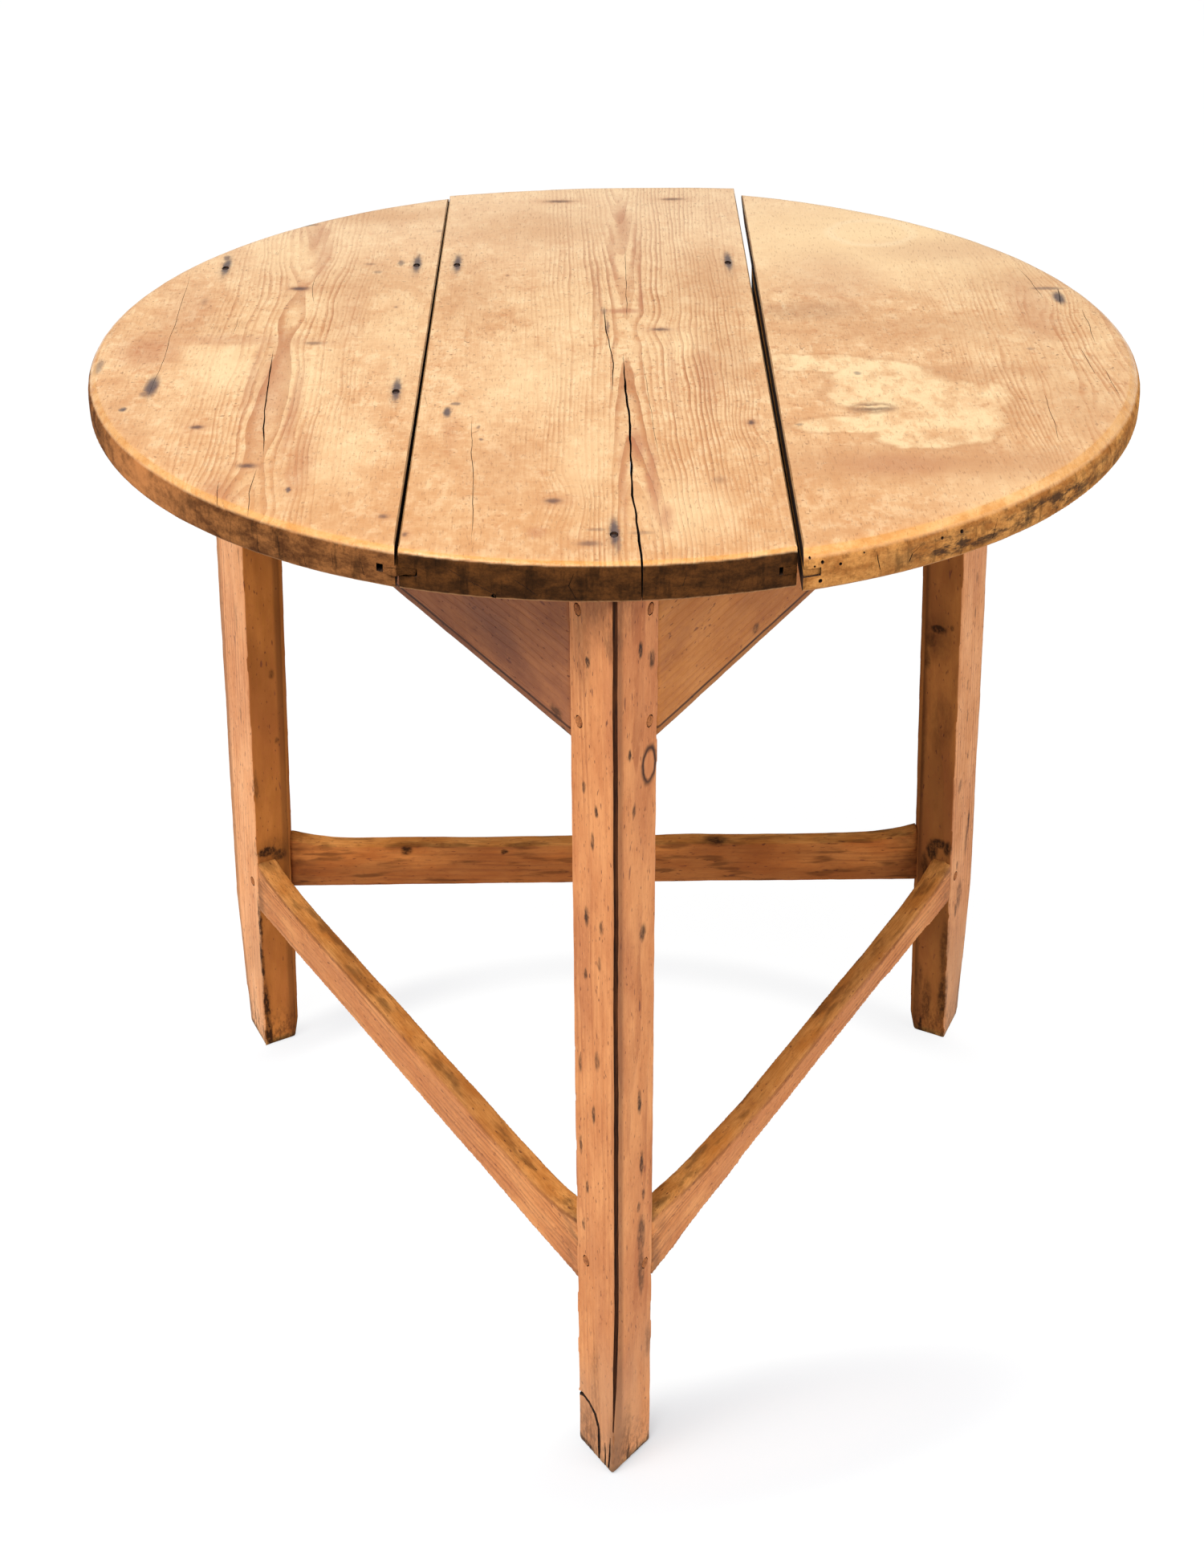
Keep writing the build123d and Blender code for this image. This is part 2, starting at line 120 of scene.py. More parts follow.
# %% Camera
CAMERA_PLACE = (-27.6 * mm, -1617.5 * mm, 1310.8 * mm)
CAMERA_HEADING = radians(0.7054)
CAMERA_PITCH = radians(30.6149)
CAMERA_ROLL = radians(-0.2415)
CAMERA_LENS = 56.907
FILM_WIDTH = 36
bpy.ops.object.camera_add(location=CAMERA_PLACE)
camera = bpy.context.object
turned = Matrix.Rotation(-CAMERA_HEADING, 4, "Z") @ Matrix.Rotation(radians(90) - CAMERA_PITCH, 4, "X")
turned = turned @ Matrix.Rotation(CAMERA_ROLL, 4, "Z")
camera.matrix_world = Matrix.Translation(CAMERA_PLACE) @ turned
camera.data.lens = CAMERA_LENS
camera.data.sensor_width = FILM_WIDTH
bpy.context.scene.camera = camera
bpy.context.scene.view_settings.view_transform = "Standard"
print("camera looks along", tuple(round(c, 3) for c in turned @ Vector((0, 0, -1))))

# %% [markdown]
# ## Writing materials as sums
# A shader is a sum over the surface: how far is this point from a ring, from a
# knot, from the rim? Nodes do that arithmetic, but they are slow to read. This
# small class wraps a socket, so that plus, minus and times make the nodes, and
# a material below reads like the rule that it follows. Paint is laid on in
# coats: each coat covers the colour so far by a share from 0 to 1.

# %% Sums of sockets
def linear(*rgb):
    """A colour given as it looks, 0 to 255, as the light values that nodes use."""
    shares = [c / 255 for c in rgb]
    return tuple(c / 12.92 if c <= 0.04045 else ((c + 0.055) / 1.055) ** 2.4 for c in shares) + (1,)


class Field:
    """A socket that varies over the surface."""

    def __init__(self, bench, socket):
        self.bench = bench
        self.socket = socket

    def maths(self, operation, *values):
        return self.bench.node("ShaderNodeMath", {"operation": operation}, values)

    def __add__(self, other):
        return self.maths("ADD", self, other)

    __radd__ = __add__

    def __mul__(self, other):
        return self.maths("MULTIPLY", self, other)

    __rmul__ = __mul__

    def __sub__(self, other):
        return self.maths("SUBTRACT", self, other)

    def __rsub__(self, other):
        return self.maths("SUBTRACT", other, self)

    def __truediv__(self, other):
        return self.maths("DIVIDE", self, other)

    def __abs__(self):
        return self.maths("ABSOLUTE", self)

    def root(self):
        return self.maths("SQRT", self)

    def fraction(self):
        return self.maths("FRACT", self)

    def floor(self):
        return self.maths("FLOOR", self)

    def most(self, other):
        return self.maths("MAXIMUM", self, other)

    def step(self, low, high):
        """0 at low and below, 1 at high and above, and smooth between them."""
        settings = {"interpolation_type": "SMOOTHSTEP", "clamp": True}
        return self.bench.node("ShaderNodeMapRange", settings, (self, low, high, 0, 1))

    def coat(self, share, *rgb):
        """This colour with a coat of another one over it."""
        return self.bench.blend(share, self, linear(*rgb))


# A Mix node has sockets for every kind of value. These are the ones for colours
MIX_SHARE, MIX_FIRST, MIX_SECOND, MIX_RESULT = 0, 6, 7, 2
DULL_GLOSS = 0.3
DRY_ROUGHNESS = 0.6


class Bench:
    """One material and its nodes."""

    def __init__(self, name):
        self.material = bpy.data.materials.new(name)
        self.material.use_nodes = True
        self.tree = self.material.node_tree
        self.tree.nodes.clear()
        self.place = self.node("ShaderNodeTexCoord", {}, (), "Object")
        self.x, self.y, self.z = self.split(self.place)
        normal = self.node("ShaderNodeNewGeometry", {}, (), "Normal")
        self.facing_x, self.facing_y, self.facing_z = self.split(normal)

    def node(self, kind, settings, sockets, output=0):
        """Any node: its type, its settings, and the values or links of its sockets."""
        node = self.tree.nodes.new(kind)
        for key, value in settings.items():
            setattr(node, key, value)
        named = sockets.items() if isinstance(sockets, dict) else enumerate(sockets)
        for key, value in named:
            if isinstance(value, Field):
                self.tree.links.new(value.socket, node.inputs[key])
            else:
                node.inputs[key].default_value = value
        return Field(self, node.outputs[output])

    def split(self, vector):
        node = self.tree.nodes.new("ShaderNodeSeparateXYZ")
        self.tree.links.new(vector.socket, node.inputs[0])
        return [Field(self, socket) for socket in node.outputs]

    def point(self, x, y, z):
        return self.node("ShaderNodeCombineXYZ", {}, (x, y, z))

    def cloud(self, x, y, z, detail=2.0, roughness=0.5):
        """Soft noise, 0 to 1, about one lump to each unit of x, y and z."""
        point = self.point(x, y, z)
        sockets = {"Vector": point, "Scale": 1.0, "Detail": detail, "Roughness": roughness}
        return self.node("ShaderNodeTexNoise", {}, sockets, "Fac")

    def grain(self, x, y, z, detail=2.0, roughness=0.5):
        """Soft noise whose grains have this size in mm."""
        return self.cloud(self.x / mm / x, self.y / mm / y, self.z / mm / z, detail, roughness)

    def blend(self, share, first, second):
        """Two colours mixed by a share from 0 to 1."""
        sockets = {MIX_SHARE: share, MIX_FIRST: first, MIX_SECOND: second}
        return self.node("ShaderNodeMix", {"data_type": "RGBA"}, sockets, MIX_RESULT)

    def spot(self, point, centre, size, soft=0.45):
        """1 inside an oval round centre, fading to 0 outside it."""
        moved = self.node("ShaderNodeVectorMath", {"operation": "SUBTRACT"}, (point, centre))
        inverse = tuple(1 / s for s in size)
        scaled = self.node("ShaderNodeVectorMath", {"operation": "MULTIPLY"}, (moved, inverse))
        distance = self.node("ShaderNodeVectorMath", {"operation": "LENGTH"}, (scaled,), "Value")
        return distance.step(1 + soft, 1 - soft)

    def finish(self, colour, roughness, height, depth=0.4 * mm, dry=None):
        """Join the colour, the roughness and the relief to the surface.

        dry is a share of the surface that has no sheen at all.
        """
        sockets = {"Strength": 1.0, "Distance": depth, "Height": height}
        bump = self.node("ShaderNodeBump", {}, sockets, "Normal")
        sockets = {"Base Color": colour, "Roughness": roughness, "Normal": bump,
                   "Specular IOR Level": DULL_GLOSS}
        shader = self.node("ShaderNodeBsdfPrincipled", {}, sockets, "BSDF")
        if dry is not None:
            sockets = {"Color": colour, "Roughness": DRY_ROUGHNESS, "Normal": bump}
            dull = self.node("ShaderNodeBsdfDiffuse", {}, sockets)
            shader = self.node("ShaderNodeMixShader", {}, (dry, shader, dull))
        self.node_output(shader)
        return self.material

    def node_output(self, shader):
        output = self.tree.nodes.new("ShaderNodeOutputMaterial")
        self.tree.links.new(shader.socket, output.inputs["Surface"])


print("a tan of 226, 178, 128 is", tuple(round(c, 3) for c in linear(226, 178, 128)))

# %% [markdown]
# ## The studio
# The table stands on a white sweep in soft daylight from the left and front.
# For the camera plain white is mixed into the floor's own. The floor's shadows
# show only in a streak right of the front foot and in a faint arc behind the
# rear ones. There the white is thinner, so the real shadow shows, and what is
# left of the white is a cool grey, a painted shadow.

# %% The floor
FLOOR_SIZE = 40.0
FLOOR_DROP = 0.3 * mm
# Where the floor's shadows show, with a painted grey shadow in the white, in mm
STREAK_PLACE, STREAK_SIZE, STREAK_SLANT = (112, -354, 0), (160, 56, 1), 0.28
ARC_CENTRE_BACK = -122
ARC_INSIDE, ARC_OUTSIDE = (352, 388), (392, 424)
bpy.ops.mesh.primitive_plane_add(size=FLOOR_SIZE, location=(0, 0, -FLOOR_DROP))
floor = bpy.context.object
floor.name = "floor"
bpy.ops.object.transform_apply(location=True, rotation=True, scale=True)
sweep = Bench("white_sweep")
paper = sweep.cloud(sweep.x, sweep.y, sweep.z, 1.0)
seen = sweep.node("ShaderNodeLightPath", {}, (), "Is Camera Ray")
mirrored = sweep.node("ShaderNodeLightPath", {}, (), "Is Glossy Ray")
paper = sweep.blend(paper, linear(244, 244, 243), linear(248, 248, 248))
sheet = sweep.node("ShaderNodeBsdfDiffuse", {}, {"Color": paper})
right, back = sweep.x / mm, sweep.y / mm
slanted = sweep.point(right, back - right * STREAK_SLANT, 0)
streak = sweep.spot(slanted, STREAK_PLACE, STREAK_SIZE, 0.6)
behind = back - ARC_CENTRE_BACK
reach = (right * right + behind * behind).root()
arc = reach.step(*ARC_INSIDE) * (1 - reach.step(*ARC_OUTSIDE)) * back.step(90, 170)
thin = streak.most(arc * (0.35 - 0.2 * right.step(-260, -60)))
# Where the white is thin it glows a cool grey: a painted shadow.
glow = sweep.node("ShaderNodeEmission", {}, {
    "Color": sweep.blend(thin, linear(255, 255, 255), linear(223, 226, 231)), "Strength": 1.06})
share = seen.most(mirrored) * (0.9 - 0.55 * thin)
sweep.node_output(sweep.node("ShaderNodeMixShader", {}, (share, sheet, glow)))
floor.data.materials.append(sweep.material)
print("floor of", FLOOR_SIZE, "m, with", len(sweep.tree.nodes), "nodes")

# %% [markdown]
# Daylight comes from all round, from a pale blue-white world. What the camera
# sees of that world is plain white, like the floor, so a Light Path node
# chooses between the two.

# %% Daylight
AMBIENT = 0.46
world = bpy.data.worlds.new("daylight")
bpy.context.scene.world = world
world.use_nodes = True
sky = world.node_tree
sky.nodes.clear()


def sky_node(kind, **values):
    node = sky.nodes.new(kind)
    for key, value in values.items():
        node.inputs[key].default_value = value
    return node


ambient = sky_node("ShaderNodeBackground", Color=(0.97, 0.985, 1.0, 1), Strength=AMBIENT)
backdrop = sky_node("ShaderNodeBackground", Color=(1, 1, 1, 1), Strength=1.0)
ray = sky_node("ShaderNodeLightPath")
either = sky.nodes.new("ShaderNodeMath")
either.operation = "MAXIMUM"
sky.links.new(ray.outputs["Is Camera Ray"], either.inputs[0])
sky.links.new(ray.outputs["Is Transmission Ray"], either.inputs[1])
mixed = sky_node("ShaderNodeMixShader")
sky.links.new(either.outputs[0], mixed.inputs[0])
sky.links.new(ambient.outputs[0], mixed.inputs[1])
sky.links.new(backdrop.outputs[0], mixed.inputs[2])
sky.links.new(mixed.outputs[0], sky_node("ShaderNodeOutputWorld").inputs[0])
print("daylight at", AMBIENT)

# %% [markdown]
# Two soft boxes shape the light. The window is high on the left and in front,
# and a weaker reflector fills in from low on the right, so that the right faces
# of the legs stay a little darker than the left ones.

# %% Lamps
LAMP_AIM = (0, 0, 0.45)


def soft_lamp(name, place, size, power):
    """A square soft box, of this size in metres and power in watts, that looks at the table."""
    bpy.ops.object.light_add(type="AREA", location=place)
    lamp = bpy.context.object
    lamp.name = name
    look = Vector(LAMP_AIM) - Vector(place)
    lamp.rotation_euler = look.to_track_quat("-Z", "Y").to_euler()
    lamp.data.shape = "SQUARE"
    lamp.data.size = size
    lamp.data.energy = power
    print(name, "of", power, "W at", place)


soft_lamp("window", (-1.2, -1.9, 3.4), 2.4, 128)
soft_lamp("reflector", (2.3, -2.0, 1.4), 2.2, 38)

# %% [markdown]
# ## The bench tools
# Every piece is made as at a bench: a block of about the right size is sawn
# along planes, its long edges are eased, and then it is weathered. Weathering
# means an even skin of small faces, pushed in and out by soft noise, so that
# no face stays dead flat and no edge stays straight.
# First come the small moves. An operator acts on all that is selected, so each
# of them selects its own piece first.

# %% Selecting and editing one piece
def take(piece):
    """Select this piece alone, so that operators act on nothing else."""
    bpy.ops.object.select_all(action="DESELECT")
    piece.select_set(True)
    bpy.context.view_layer.objects.active = piece


def settle(piece):
    """Write the object's place, turn and size into its mesh."""
    take(piece)
    bpy.ops.object.transform_apply(location=True, rotation=True, scale=True)


def added(add, **settings):
    """A new primitive, made with nothing else selected."""
    bpy.ops.object.select_all(action="DESELECT")
    add(**settings)
    return bpy.context.object


def open_up(piece):
    """Go into edit mode with all of a piece selected."""
    take(piece)
    bpy.ops.object.mode_set(mode="EDIT")
    bpy.ops.mesh.select_all(action="SELECT")


def close_up():
    bpy.ops.object.mode_set(mode="OBJECT")


def face_outwards(piece):
    """Turn all faces of a closed piece outwards."""
    open_up(piece)
    bpy.ops.mesh.normals_make_consistent(inside=False)
    close_up()


def join(pieces):
    """Join pieces into the first of them."""
    take(pieces[0])
    for piece in pieces:
        piece.select_set(True)
    if len(pieces) > 1:
        bpy.ops.object.join()
    return pieces[0]


def choose(piece, kind, wanted):
    """In edit mode, select the faces, edges or vertices that wanted() picks."""
    bpy.ops.mesh.select_mode(type=kind)
    bpy.ops.mesh.select_all(action="DESELECT")
    close_up()
    mesh = piece.data
    parts = {"FACE": mesh.polygons, "EDGE": mesh.edges, "VERT": mesh.vertices}[kind]
    for part in parts:
        part.select = wanted(part)
    bpy.ops.object.mode_set(mode="EDIT")


DOUBLED = 0.01 * mm


def copy_of_node(name):
    """A copy of one of the frame's pieces, without its notes and doubled vertices."""
    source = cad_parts[name]
    copy = source.copy()
    copy.data = source.data.copy()
    copy.parent = None
    copy.data.materials.clear()
    for key in list(copy.keys()):
        del copy[key]
    bpy.context.scene.collection.objects.link(copy)
    open_up(copy)
    bpy.ops.mesh.remove_doubles(threshold=DOUBLED)
    close_up()
    return copy


print("vertices closer than", DOUBLED / mm, "mm are merged")

# %% [markdown]
# Now the tools themselves: a block, a saw, a plane for the edges, weather, and a
# carver that sinks shapes. A modifier is applied at once, so that the next cut
# works on the true surface.

# %% Tools that every piece uses
def edge_ends(piece, edge):
    return [piece.data.vertices[v].co for v in edge.vertices]


def block(name, low, high):
    """A cube primitive at its size and place."""
    middle = (Vector(low) + Vector(high)) / 2
    piece = added(bpy.ops.mesh.primitive_cube_add, size=1, location=middle)
    piece.name = name
    piece.scale = Vector(high) - Vector(low)
    settle(piece)
    return piece


def saw(piece, point, outward):
    """Cut along a plane and drop what lies on its outward side."""
    open_up(piece)
    bpy.ops.mesh.select_mode(type="VERT")
    bpy.ops.mesh.bisect(plane_co=point, plane_no=outward, use_fill=True, clear_outer=True)
    close_up()


def ease_edges(piece, wanted, width, segments=3):
    """Round the edges that wanted() picks, given both of their ends."""
    open_up(piece)
    choose(piece, "EDGE", lambda edge: wanted(*edge_ends(piece, edge)))
    bpy.ops.mesh.bevel(offset=width, segments=segments, affect="EDGES")
    close_up()


def modify(piece, kind, **settings):
    """Add a modifier and apply it at once."""
    take(piece)
    bpy.ops.object.modifier_add(type=kind)
    modifier = piece.modifiers[-1]
    for key, value in settings.items():
        setattr(modifier, key, value)
    bpy.ops.object.modifier_apply(modifier=modifier.name)


def lumps(name, size, depth=2):
    """A soft noise for pushing a surface in and out."""
    texture = bpy.data.textures.new(name, "CLOUDS")
    texture.noise_scale = size
    texture.noise_depth = depth
    return texture


BROAD_WEAR = lumps("broad_wear", 55 * mm, 1)
SMALL_WEAR = lumps("small_wear", 11 * mm, 2)


def weather(piece, skin, broad, small):
    """Give a piece an even skin of faces and push it in and out by noise."""
    modify(piece, "REMESH", mode="VOXEL", voxel_size=skin)
    modify(piece, "SMOOTH", factor=0.5, iterations=4)
    for texture, strength in ((BROAD_WEAR, broad), (SMALL_WEAR, small)):
        modify(piece, "DISPLACE", texture=texture, strength=strength, mid_level=0.5)


def carve(piece, cutters):
    """Cut the joined cutters out of a piece. The cut faces keep the cutter's material."""
    tool = join(cutters)
    face_outwards(tool)
    modify(piece, "BOOLEAN", operation="DIFFERENCE", object=tool, solver="MANIFOLD",
           material_mode="TRANSFER")
    bpy.data.objects.remove(tool)


def dress(piece, slot, *nodes, angle=40):
    """Smooth the skin, hang the piece under the root body and hide the frame's nodes that it stands for.
    slot is not used.
    """
    take(piece)
    bpy.ops.object.shade_smooth_by_angle(angle=radians(angle))
    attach(piece, "root")
    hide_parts(*nodes)
    print(piece.name, "has", len(piece.data.polygons), "faces")


print("worn by lumps of", BROAD_WEAR.noise_scale / mm, "and", SMALL_WEAR.noise_scale / mm, "mm")

# %% [markdown]
# ## Splits
# A split in a board is a thin wedge: widest at the surface, closing downwards
# and towards its ends, and never quite straight, because it follows the
# fibres. Its cutter is a square bar that is pulled out in steps, as many as the
# split is long, and then laid along the split ring by ring, wider or narrower
# on the way. The same bar later makes the split corners of the legs.

# %% A bar for cutters, and the split cutter
def stepped_bar(name, steps, lay, material):
    """A bar of this many steps. lay(ring, u, v) places each ring's four corners."""
    bar = added(bpy.ops.mesh.primitive_plane_add, size=2)
    bar.name = name
    open_up(bar)
    for _ in range(steps):
        bpy.ops.mesh.extrude_region_move(TRANSFORM_OT_translate={"value": (0, 0, 1)})
    close_up()
    for vertex in bar.data.vertices:
        u, v, ring = vertex.co
        vertex.co = lay(round(ring), round(u), round(v))
    bar.data.materials.append(material)
    return bar


def quarter_steps(points):
    """The points of a line, with three more between each two."""
    line = [Vector((*point, 0)) for point in points]
    steps = [line[0]]
    for first, second in zip(line, line[1:]):
        steps += [first.lerp(second, i / 4) for i in (1, 2, 3, 4)]
    return steps


SPLIT_STEP = 9 * mm
SPLIT_MOUTH = 3 * mm
SPLIT_SWAY = 1.1 * mm


def split_cutter(name, points, width, depth, rim, material):
    """A wedge along points on the top's plan, in mm from its centre.

    rim is how wide the far end stays, as a share of the width.
    """
    places = [TOP_CENTRE + Vector((x * mm, y * mm, 0)) for x, y in points]
    line = [places[0]]
    for start, end in zip(places, places[1:]):
        steps = max(2, round((end - start).length / SPLIT_STEP))
        line += [start.lerp(end, (i + 1) / steps) for i in range(steps)]
    last = len(line) - 1

    def lay(ring, u, v):
        way = ring / last
        open_share = min(1, 5 * way + 0.1) * max(rim, min(1, 5 * (1 - way) + 0.1))
        swing = noise.noise(line[ring] * 60)
        sway = SPLIT_SWAY * noise.noise(Vector((line[ring].y * 45, line[ring].x * 9, 3.1)))
        half = width * open_share * (1 + 0.45 * swing) / 2
        if v > 0:
            return line[ring] + Vector((sway + u * half, 0, TABLE_HEIGHT + SPLIT_MOUTH))
        return line[ring] + Vector((sway + u * half / 4, 0, TABLE_HEIGHT - depth * open_share))

    return stepped_bar(name, last, lay, material)


print("splits are laid in steps of", SPLIT_STEP / mm, "mm")

# %% [markdown]
# ## The colour of the top
# A pine board shows its yearly rings as lines. Seen in three dimensions the
# rings are long tubes round the tree's heart, and a sawn face cuts through
# them: nearly straight lines where the tubes stand steep, and pointed arches
# where the heart lies just below. So the figure isn't painted. The distance
# from a slightly bowed heart line is worked out at every point, made uneven by
# soft noise, and each step of one ring width ends in a thin brown line. Round
# a knot the tubes bulge, so the lines part and close again there.

# %% Rings of pine
LATE_FROM, LATE_FULL, LATE_ENDS = 0.28, 0.86, 0.93


def pine_rings(bench, run, across, depth, heart, bow, ring, sway, bulge=None):
    """Lines of late wood, 0 to 1. All lengths are in mm.

    run is along the grain, heart is (across, depth) of the tree's heart, and
    bow is how it curves: (place along the run, rise at one metre from there).
    """
    broad = bench.cloud(across / 70, run / 300, depth / 70, 1.0)
    small = bench.cloud(across / 16, run / 70, depth / 16, 1.0)
    sideways = across - heart[0] + (broad - 0.5) * sway[0] + (small - 0.5) * sway[1]
    from_bow = (run - bow[0]) / 1000
    down = depth + heart[1] - from_bow * from_bow * bow[1]
    reach = (sideways * sideways + down * down).root()
    if bulge is not None:
        reach = reach + bulge
    uneven = bench.cloud(reach / 23, 0.5, 0.5, 1.0)
    count = reach / ring + uneven * 2.5
    phase = count.fraction()
    late = phase.step(LATE_FROM, LATE_FULL) * (1 - phase.step(LATE_ENDS, 1.0))
    vigour = bench.cloud(count.floor() * 3.7, run / 260, 0.5, 0.0)
    return late * (0.25 + 0.75 * vigour.step(0.3, 0.65))


print("the wood darkens from", LATE_FROM, "to", LATE_FULL, "of a ring and ends at", LATE_ENDS)

# %% [markdown]
# Over the rings lie the marks of use: clouds of worn wax, knots, a blue-black
# iron stain round every nail, and on the right a patch that something bleached.
# The marks are ovals with ragged outlines at their places on the top.

# %% Marks on the wood
ANY_HEIGHT = 1000.0


def ragged(bench, point, amount, size):
    """The same point, moved about by noise, so that outlines turn ragged."""
    scaled = bench.node("ShaderNodeVectorMath", {"operation": "SCALE"}, {0: point, "Scale": 1 / size})
    wander = bench.node("ShaderNodeTexNoise", {}, {"Vector": scaled, "Scale": 1.0, "Detail": 2.0}, "Color")
    centred = bench.node("ShaderNodeVectorMath", {"operation": "SUBTRACT"}, (wander, (0.5, 0.5, 0.5)))
    pushed = bench.node("ShaderNodeVectorMath", {"operation": "SCALE"}, {0: centred, "Scale": 2 * amount})
    return bench.node("ShaderNodeVectorMath", {"operation": "ADD"}, (point, pushed))


def strongest(bench, point, ovals, soft):
    """The strongest of many ovals: (centre, size, strength)."""
    total = None
    for centre, size, strength in ovals:
        oval = bench.spot(point, tuple(centre), size, soft) * strength
        total = oval if total is None else total.most(oval)
    return total


def marks(bench, point, places, soft=0.45, grow=1.0):
    """Marks on the top: (x, y, half width, half length, strength) in mm."""
    ovals = []
    for x, y, width, length, strength in places:
        centre = TOP_CENTRE + Vector((x, y, 0)) * mm
        ovals.append((centre, (width * grow * mm, length * grow * mm, ANY_HEIGHT), strength))
    return strongest(bench, point, ovals, soft)


print("a mark reaches", ANY_HEIGHT, "m up and down")

# %% [markdown]
# The nails' places are read from the frame: a copy of each board's nails is
# merged and separated into loose parts, and each part's box says where one
# nail stands. The copies are thrown away again.

# %% Where the nails stand
def nail_tops(board):
    """The centre of each nail's head, as the frame has it."""
    open_up(copy_of_node(f"top_nails_{board}"))
    bpy.ops.mesh.separate(type="LOOSE")
    close_up()
    tops = []
    for part in list(bpy.context.selected_objects):
        corners = [Vector(corner) for corner in part.bound_box]
        middle = sum(corners, Vector()) / 8
        tops.append(Vector((middle.x, middle.y, max(c.z for c in corners))))
        bpy.data.objects.remove(part)
    return sorted(tops, key=lambda top: (round(top.y, 3), top.x))


NAILS = {board: nail_tops(board) for board in ("left", "centre", "right")}
for board, tops in NAILS.items():
    print(board, [tuple(round((c - o) / mm) for c, o in zip(top, TOP_CENTRE)) for top in tops])

# %% [markdown]
# Each board's marks are listed as a maker would note them: where, how large and
# how strong. The iron stains lie in line with the grain, the knots across it,
# and red streaks run beside the heart. Then come its rings and its rim.

